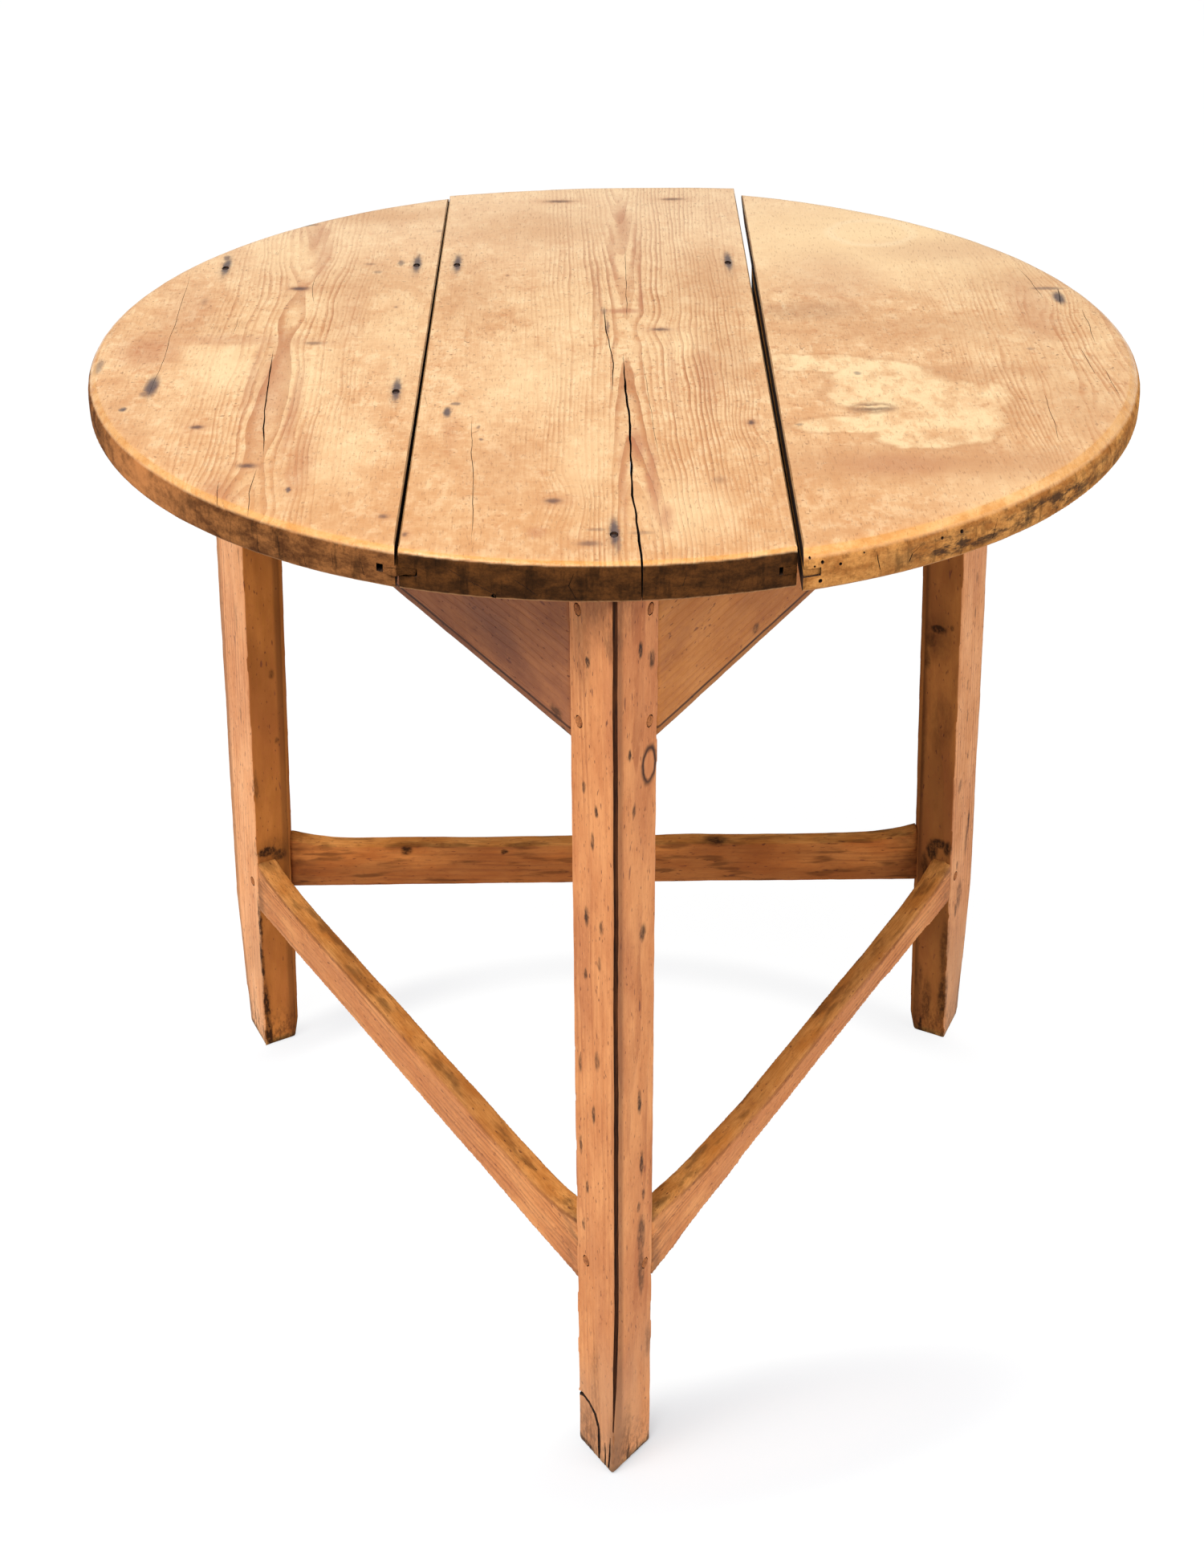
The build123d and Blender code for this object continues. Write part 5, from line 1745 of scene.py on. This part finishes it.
def leg_blank(name):
    floor_kite, top_kite = leg_corners(name, 0), leg_corners(name, UNDERSIDE)
    taper_kite = leg_corners(name, FOOT_TAPER)
    tip = outer_corner(name, 0)
    heart = (taper_kite[0] + taper_kite[2]) / 2
    xs, ys, _ = zip(*(floor_kite + top_kite))
    low = (min(xs) - BLANK_MARGIN, min(ys) - BLANK_MARGIN, 0)
    high = (max(xs) + BLANK_MARGIN, max(ys) + BLANK_MARGIN, UNDERSIDE)
    piece = block(f"leg_{name}", low, high)
    for i in range(4):
        low, low_next, high = floor_kite[i], floor_kite[(i + 1) % 4], top_kite[i]
        normal = plane_through(low, low_next, high, heart)[1]
        proud = SPARE if i in SHOULDER_PLANES else 0
        foot = normal * FOOT_SPARE.get((name, i), proud)
        saw(piece, *plane_through(low + foot, low_next + foot, high + normal * proud, heart))
    for side in (1, 3):
        saw(piece, *plane_through(tip, floor_kite[side], taper_kite[0], heart))
    ease_edges(piece, lambda a, b: abs(a.z - b.z) > LONG_EDGE, LONG_EASE, 2)
    ease_edges(piece, lambda a, b: max(a.z, b.z) < 0.1 * mm, FOOT_ROUND[name], 4)
    return piece


legs = {name: leg_blank(name) for name in LEG_ANGLES}
for leg in legs.values():
    weather(leg, LEG_SKIN, *LEG_WEAR)
    print(leg.name, "skinned with", len(leg.data.polygons), "faces")

# %% [markdown]
# The outer corner of every leg has a dark line down it, where the thin edge
# has dried, split and been knocked away. It is cut as a narrow channel that
# wanders a little and dies out above the foot. Its walls have their own brown,
# darkest at the bottom of the channel.

# %% The split corner
GROOVE_WIDTH = 3.5 * mm
GROOVE_DEPTH = 6.5 * mm
GROOVE_STEPS = 90
GROOVE_FADE = 55 * mm
GROOVE_LOW = 42 * mm
crack_bench = Bench("split_corner_wood")
crack_fibre = crack_bench.grain(1.2, 1.2, 30, 3.0, 0.7)
crack_broad = crack_bench.cloud(0.5, 0.5, crack_bench.z / mm / 45)
crack_wood = crack_bench.blend(crack_fibre.step(0.3, 0.7), linear(52, 27, 12), linear(116, 64, 30))
crack_wood = crack_wood.coat(crack_broad.step(0.5, 0.7) * 0.5, 140, 82, 40)
crack = crack_bench.finish(crack_wood, crack_fibre * 0.2 + 0.65, crack_fibre, 0.3 * mm)


def corner_cutter(name):
    """A channel down a leg's outer corner."""
    outward = heading(LEG_ANGLES[name])
    across = Vector((-outward.y, outward.x, 0))
    high = UNDERSIDE + 3 * mm

    def lay(ring, u, v):
        z = GROOVE_LOW + (high - GROOVE_LOW) * ring / GROOVE_STEPS
        fade = min(1, (z - GROOVE_LOW) / GROOVE_FADE)
        sway = 0.5 * mm * noise.noise(Vector((z * 14, LEG_ANGLES[name], 0)))
        swing = noise.noise(Vector((z * 80, v, LEG_ANGLES[name])))
        half = GROOVE_WIDTH * (0.3 + 0.7 * fade) * (1 + 0.2 * swing) / 2
        reach = 8 * mm if u > 0 else -GROOVE_DEPTH * (0.25 + 0.75 * fade)
        side = v * half * (1 if u > 0 else 0.75)
        return outer_corner(name, z) + outward * reach + across * (side + sway)

    return stepped_bar(f"corner_{name}", GROOVE_STEPS, lay, crack)


print("a channel", GROOVE_WIDTH / mm, "mm wide and", GROOVE_DEPTH / mm, "mm deep")

# %% [markdown]
# The feet have dried out and split from below. Each gets a short slit or two,
# and on the front one a crack rises from the floor and bends over, round a chip
# that is about to come loose. A slit is the stepped bar again, laid along points
# on a face of the leg, wide outside and thin inside.

# %% Slits at the feet
# Side, end, points as (along the side, height), width, depth, all in mm
CHIP = [(298.1, -3), (298, 13.7), (297.4, 31.2), (292.7, 41.2), (285.3, 45.5), (276.6, 46.5), (270, 43)]
FOOT_SLITS = {
    "front": [
        ("left", 1, [(305.4, 24), (306, 12), (305.4, -3)], 2.4, 6),
        ("left", 1, [(312, 34), (311.5, 18), (310, 3)], 2.6, 6),
        ("left", 1, CHIP, 4.8, 5),
        ("right", 0, [(-291, 18), (-290, 8), (-290, -3)], 1.0, 5),
        ("right", 0, [(-301, 26), (-300, 10), (-302, -3)], 0.9, 5),
    ],
    "rear_left": [
        ("left", 0, [(-293, 62), (-297, 30), (-300, -3)], 1.3, 6),
        ("left", 0, [(-277, 22), (-276, -3)], 2.4, 6),
    ],
    "rear_right": [("right", 1, [(288, 32), (290, -3)], 1.3, 6)],
}


def slit_cutter(side, end, points, width, depth):
    """A thin wedge along points on a leg's face."""
    inward = heading(SIDE_ANGLES[side]) * -1
    spots = quarter_steps(points)

    def lay(ring, u, v):
        spot = spots[ring]
        before, after = spots[max(0, ring - 1)], spots[min(len(spots) - 1, ring + 1)]
        run = (after - before).normalized()
        half = width * min(1, 0.3 + ring / 5) / 2 * (1 if u < 0 else 0.3)
        half *= 1 + 0.3 * noise.noise(spot * 0.4)
        reach = -3 * mm if u < 0 else depth * mm
        t, z = spot.x - run.y * v * half, spot.y + run.x * v * half
        return on_face(side, end, t * mm, z * mm) + inward * reach

    return stepped_bar(f"slit_{side}", len(spots) - 1, lay, grime)


print("slits:", {name: len(slits) for name, slits in FOOT_SLITS.items()})

# %% [markdown]
# ## Holes for the pegs
# A peg shows as a small round of lighter wood with a dark line about it,
# because the hole was bored a trace wider and has filled with dirt. So a
# shallow ring of grime is sunk in the leg first, and the peg stands in it.

# %% Places of the pegs
PEG_INSET = 10 * mm
PEG_RADIUS = 3.7 * mm
PEG_HOLE = 4.3 * mm
APRON_PEG_HEIGHTS = (UNDERSIDE - 22.5 * mm, UNDERSIDE - APRON_DEPTH + 18.5 * mm)
STRETCHER_PEG_HEIGHTS = {"left": 170.5 * mm, "right": 168 * mm, "rear": 178.5 * mm}


def peg_mouth(side, end, z):
    """Where a peg comes out of a leg's face, and which way it looks."""
    corner = leg_corners(SIDE_LEGS[side][end], z)[1 if end == 0 else 3]
    toward_arris = along(side) * (1 if end else -1)
    return corner + toward_arris * PEG_INSET, heading(SIDE_ANGLES[side])


def peg_places(leg):
    """The leg's pegs: those of its aprons and those of its stretchers."""
    ends = [(side, pair.index(leg)) for side, pair in SIDE_LEGS.items() if leg in pair]
    upper = [peg_mouth(side, end, z) for side, end in ends for z in APRON_PEG_HEIGHTS]
    lower = [peg_mouth(side, end, STRETCHER_PEG_HEIGHTS[side]) for side, end in ends]
    return {"apron": upper, "stretcher": lower}


for name, leg in legs.items():
    leg.data.materials.append(LEG_WOOD[name])
    carve(leg, [corner_cutter(name)])
    dark = [slit_cutter(*slit) for slit in FOOT_SLITS[name]]
    for place, outward in sum(peg_places(name).values(), []):
        dark.append(pit(place, PEG_HOLE, 2 * mm, outward))
    carve(leg, dark)
    dress(leg, "frame_wood", f"leg_{name}")

# %% [markdown]
# ## The aprons
# Three boards tie the legs together under the top. Their outer faces lie level
# with the legs' faces, and the lower outer edge was planed off at 45 degrees.
# An apron is one block laid along its side, sawn at both ends where it butts
# against the square shoulders of the legs, and chamfered with a last cut.

# %% Rails between the legs
RAIL_SKIN = 2.2 * mm
APRON_WEAR = (0.6 * mm, 0.25 * mm)
APRON_CHAMFER = 4 * mm


def shoulder(side, end):
    """The plane of the leg's face that a rail butts against, facing out of the rail."""
    leg = SIDE_LEGS[side][end]
    corner = 1 if end == 0 else 3
    low, high = leg_corners(leg, 0), leg_corners(leg, UNDERSIDE)
    middle = side_point(side, 0, 0, UNDERSIDE)
    return plane_through(low[corner], high[corner], high[2], middle)


def apron_blank(side):
    low, high = UNDERSIDE - APRON_DEPTH, UNDERSIDE
    half = ARRIS_RADIUS
    piece = block(f"apron_{side}", (-half, 0, low), (half, 1, high))
    for vertex in piece.data.vertices:
        t, depth, z = vertex.co
        depth = APRON_THICKNESS if depth > 0.5 else 0
        vertex.co = side_point(side, -t, depth, z)
    face_outwards(piece)
    for end in (0, 1):
        saw(piece, *shoulder(side, end))
    chamfer = side_point(side, 0, 0, low + APRON_CHAMFER)
    saw(piece, chamfer, heading(SIDE_ANGLES[side]) - Vector((0, 0, 1)))
    return piece


aprons = {side: apron_blank(side) for side in SIDE_ANGLES}
for side, apron in aprons.items():
    apron.data.materials.append(APRON_WOOD[side])
    weather(apron, RAIL_SKIN, *APRON_WEAR)
    dress(apron, "frame_wood", f"apron_{side}")

# %% [markdown]
# ## The stretchers
# Generations of feet have rested on the three low rails and have worn their
# upper edges into long hollows, most of all on the right. Near the legs, where
# no foot reaches, the wood sweeps up to its old height. Each one starts as an
# upright grid, two rows high. The upper row is laid on the worn outline, the
# grid is pulled out to the rail's thickness, and its long edges are rounded.

# %% Stretchers
# side: waist, depth at first and second leg, sweep at each, bow
STRETCHERS = {
    "left": (40.5, 50, 55, 70, 75, 1),
    "right": (25, 52, 40, 210, 90, 5),
    "rear": (40, 51, 50, 60, 60, 0.5),
}
STRETCHER_STEPS = 110
STRETCHER_SPARE = 25 * mm
STRETCHER_WEAR = (0.7 * mm, 0.35 * mm)
RIPPLE = 1.1 * mm
OUTER_WEAR = 5 * mm
INNER_WEAR = 3.5 * mm


def stretcher_heights(side, t):
    """Heights of a stretcher's lower and upper edge, t along it from the middle."""
    low = STRETCHER_LOWS[side]
    waist, first, second, first_sweep, second_sweep, bow = (s * mm for s in STRETCHERS[side])
    reach = stretcher_reach(side)
    end_depth, sweep = (first, first_sweep) if t < 0 else (second, second_sweep)
    in_sweep = max(0, abs(t) - (reach - sweep)) / sweep
    rise = end_depth - bow - waist
    radius = (sweep ** 2 + rise ** 2) / (2 * rise)
    lift = radius - max(0, radius ** 2 - (in_sweep * sweep) ** 2) ** 0.5
    arch = bow * (1 - (t / reach) ** 2) if abs(t) < reach else 0
    ripple = RIPPLE * noise.noise(Vector((t * 16, SIDE_ANGLES[side], 1.7)))
    ripple *= min(1, max(0, (reach - abs(t)) / (30 * mm)))
    return low + arch, low + bow + waist + lift + ripple


def stretcher_blank(side):
    reach = stretcher_reach(side) + STRETCHER_SPARE
    piece = added(bpy.ops.mesh.primitive_grid_add, x_subdivisions=STRETCHER_STEPS, y_subdivisions=1, size=2)
    piece.name = f"stretcher_{side}"
    settle(piece)
    for vertex in piece.data.vertices:
        t = vertex.co.x * reach
        low, high = stretcher_heights(side, t)
        vertex.co = side_point(side, t, 0, high if vertex.co.y > 0 else low)
    open_up(piece)
    inward = heading(SIDE_ANGLES[side]) * -STRETCHER_THICKNESS
    bpy.ops.mesh.extrude_region_move(TRANSFORM_OT_translate={"value": inward})
    close_up()
    face_outwards(piece)
    for end in (0, 1):
        saw(piece, *shoulder(side, end))
    return piece


def upper_long_edge(side, depth):
    """Picks the long upper edges that lie this deep behind the rail's face."""
    low, waist = STRETCHER_LOWS[side], STRETCHERS[side][0] * mm
    outward = heading(SIDE_ANGLES[side])

    def wanted(a, b):
        middle = (a + b) / 2
        behind = (side_point(side, 0, 0, middle.z) - middle).dot(outward)
        level = abs((a - b).normalized().dot(along(side))) > 0.5
        return level and abs(behind - depth) < 0.8 * mm and middle.z > low + waist / 2

    return wanted


stretchers = {side: stretcher_blank(side) for side in SIDE_ANGLES}
for side, stretcher in stretchers.items():
    stretcher.data.materials.append(STRETCHER_WOOD[side])
    ease_edges(stretcher, upper_long_edge(side, 0), OUTER_WEAR, 3)
    ease_edges(stretcher, upper_long_edge(side, STRETCHER_THICKNESS), INNER_WEAR, 3)
    weather(stretcher, RAIL_SKIN, *STRETCHER_WEAR)
    dress(stretcher, "frame_wood", f"stretcher_{side}")

# %% [markdown]
# ## Pegs
# Whittled pegs, driven through leg and tenon, hold every joint of the frame. A
# whittled peg has flat sides: it starts as a nine-sided rod, its inner end is
# drawn in, its outer end is softened, and each copy is dented and turned.

# %% End grain for the pegs
peg_bench = Bench("peg_end_grain")
peg_fibre = peg_bench.grain(0.7, 0.7, 0.9, 3.0, 0.7)
peg_broad = peg_bench.grain(4, 4, 4)
peg_colour = peg_bench.blend(peg_fibre.step(0.3, 0.7), linear(142, 86, 50), linear(196, 126, 76))
peg_colour = peg_colour.coat(peg_broad.step(0.45, 0.65) * 0.5, 112, 66, 48)
peg_roughness, peg_dryness = peg_fibre * 0.2 + 0.6, peg_fibre * 0.2 + 0.7
peg_wood = peg_bench.finish(peg_colour, peg_roughness, peg_fibre + peg_broad, 0.3 * mm, peg_dryness)
print(peg_wood.name, "has", len(peg_bench.tree.nodes), "nodes")

# %% Whittle one peg, copy it to its places
PEG_LENGTH = 22 * mm
PEG_SIDES = 9
PEG_PROUD = 0.4 * mm


def whittled_peg():
    """A peg along +Z, its outer end at the origin's level."""
    middle = (0, 0, -PEG_LENGTH / 2)
    peg = added(bpy.ops.mesh.primitive_cylinder_add, vertices=PEG_SIDES, radius=PEG_RADIUS,
                depth=PEG_LENGTH, location=middle)
    settle(peg)
    ease_edges(peg, lambda a, b: min(a.z, b.z) > -0.1 * mm, 0.7 * mm, 3)
    open_up(peg)
    choose(peg, "VERT", lambda vertex: vertex.co.z < -PEG_LENGTH + 0.1 * mm)
    bpy.ops.transform.resize(value=(0.72, 0.72, 1), center_override=(0, 0, -PEG_LENGTH))
    choose(peg, "FACE", lambda face: face.normal.z > 0.95)
    bpy.ops.mesh.poke(offset=0.25 * mm)
    close_up()
    return peg


def drive(pattern, name, places, material, slot, node, dents, sink, spin):
    """Copy a pattern to its places, join the copies and let them stand for a node."""
    copies = []
    for i, (place, outward) in enumerate(places):
        copy = pattern.copy()
        copy.data = pattern.data.copy()
        bpy.context.scene.collection.objects.link(copy)
        take(copy)
        facing = outward.to_track_quat("Z", "Y").to_matrix().to_4x4()
        facing = facing @ Matrix.Rotation(spin * i, 4, "Z")
        copy.matrix_world = Matrix.Translation(place - outward * sink) @ facing
        settle(copy)
        for vertex in copy.data.vertices:
            vertex.co += noise.noise_vector(vertex.co * 400) * dents
        copies.append(copy)
    whole = join(copies)
    whole.name = name
    whole.data.materials.clear()
    whole.data.materials.append(material)
    dress(whole, slot, node, angle=30)


peg_pattern = whittled_peg()
for leg in LEG_ANGLES:
    for rail, places in peg_places(leg).items():
        drive(peg_pattern, f"pegs_{rail}_{leg}", places, peg_wood, "peg_wood",
              f"{rail}_pegs_{leg}", 0.25 * mm, -PEG_PROUD, 2.4)
bpy.data.objects.remove(peg_pattern)

# %% [markdown]
# ## Nails
# The top is nailed down with hand-forged nails. The smith drew a square rod to
# a point and struck the head to a low, lopsided pyramid, longer along the
# grain. Here the shank is drawn from a small cube: its lower end is pinched,
# its upper face is spread and lifted for the head, and the head is poked up to
# its low point, a little below the scrubbed wood.

# %% Forge one nail, copy it to its places
NAIL_LENGTH = 58 * mm
SHANK = 3.4 * mm
HEAD_SPREAD = (1.2, 1.9, 1)
HEAD_THICKNESS = 1.1 * mm
NAIL_SINK = 0.9 * mm
iron_bench = Bench("nail_iron")
rust = iron_bench.grain(1.6, 1.6, 1.6, 4.0, 0.7)
iron_colour = iron_bench.blend(rust.step(0.35, 0.65), linear(40, 38, 42), linear(92, 66, 54))
nail_iron = iron_bench.finish(iron_colour, rust * 0.25 + 0.6, rust, 0.3 * mm)


def forged_nail():
    """A nail along +Z, the underside of its head at the origin's level."""
    nail = added(bpy.ops.mesh.primitive_cube_add, size=1)
    for vertex in nail.data.vertices:
        x, y, z = vertex.co
        vertex.co = (x * SHANK, y * SHANK, 0 if z > 0 else -NAIL_LENGTH + 2 * mm)
    open_up(nail)
    choose(nail, "VERT", lambda vertex: vertex.co.z < -NAIL_LENGTH / 2)
    bpy.ops.transform.resize(value=(0.47, 0.47, 1), center_override=(0, 0, -NAIL_LENGTH))
    choose(nail, "FACE", lambda face: face.normal.z > 0.9)
    bpy.ops.mesh.extrude_region_move(TRANSFORM_OT_translate={"value": (0, 0, 0.4 * mm)})
    bpy.ops.transform.resize(value=HEAD_SPREAD, center_override=(0, 0, 0.4 * mm))
    bpy.ops.mesh.extrude_region_move(TRANSFORM_OT_translate={"value": (0, 0, HEAD_THICKNESS / 2)})
    bpy.ops.transform.resize(value=(0.86, 0.86, 1), center_override=(0, 0, HEAD_THICKNESS))
    bpy.ops.mesh.poke(offset=HEAD_THICKNESS / 2)
    close_up()
    ease_edges(nail, lambda a, b: min(a.z, b.z) > 0.3 * mm and abs(a.z - b.z) < 0.1 * mm, 0.3 * mm, 2)
    ease_edges(nail, lambda a, b: abs(a.z - b.z) < 1.0 * mm and hypot(*a.xy) > 2 * mm and a.z > 0.3 * mm
               and hypot(*b.xy) > 2 * mm, 0.12 * mm, 1)
    return nail


nail_pattern = forged_nail()
for board, tops in NAILS.items():
    places = [(top, Vector((0, 0, 1))) for top in tops]
    drive(nail_pattern, f"nails_{board}", places, nail_iron, "nail_iron", f"top_nails_{board}",
          0.15 * mm, NAIL_SINK + HEAD_THICKNESS, 0.17)
bpy.data.objects.remove(nail_pattern)

# %% [markdown]
# ## The loose tongues
# The strips in the joints start from the frame's own shape. Their front ends
# are drawn out nearly to the rims and their sawn edges are softened. An end
# that is level with a board's rim has darkened with it, and beside it the
# groove, cut wider than the strip, stays open as a small black hole.

# %% Wood of the tongues
tongue_bench = Bench("tongue_wood")
tongue_run = (tongue_bench.y - TOP_CENTRE.y) / mm
tongue_across, tongue_height = tongue_bench.x / mm, tongue_bench.z / mm
tongue_fibre = tongue_bench.cloud(tongue_across / 1.4, tongue_run / 30, tongue_height / 1.2, 3.0, 0.7)
tongue_soil = tongue_bench.cloud(tongue_across / 7, tongue_run / 9, tongue_height / 5, 3.0)
shades = {}
for board in ("left", "centre", "right"):
    deep, pale = linear(*TOP_MARKS[board]["rim"]), linear(*TOP_MARKS[board]["rim_pale"])
    shades[board] = tongue_bench.blend(tongue_fibre.step(0.3, 0.7) * 0.6 + tongue_soil * 0.3, deep, pale)
in_left = 1 - tongue_across.step(-130, -129)
in_right = tongue_across.step(102, 103)
tongue_colour = tongue_bench.blend(in_left, shades["centre"], shades["left"])
tongue_colour = tongue_bench.blend(in_right, tongue_colour, shades["right"])
tongue_wood = tongue_bench.finish(tongue_colour, tongue_fibre * 0.2 + 0.6, tongue_fibre, 0.3 * mm,
                                  dry=tongue_fibre * 0.1 + 0.85)
TONGUE_FRONT, TONGUE_TIP = -0.25, -0.3
# joint: the front ends left of this place are drawn out by so much
TONGUE_ENDS = {"left": (-129.2 * mm, 3.5 * mm), "right": (101.6 * mm, 1.5 * mm)}
for side, (limit, drawn) in TONGUE_ENDS.items():
    tongue = copy_of_node(f"joint_tongue_{side}")
    tongue.name = f"tongue_{side}"
    for vertex in tongue.data.vertices:
        if vertex.co.x < limit and vertex.co.y < TONGUE_FRONT:
            vertex.co.y -= drawn
    ease_edges(tongue, lambda a, b: max(a.y, b.y) < TONGUE_TIP and abs(a.z - b.z) < 0.1 * mm, 0.35 * mm, 2)
    tongue.data.materials.append(tongue_wood)
    if side == "right":
        carve(tongue, [undercut(tongue_wood)])
    dress(tongue, "top_wood", f"joint_tongue_{side}")
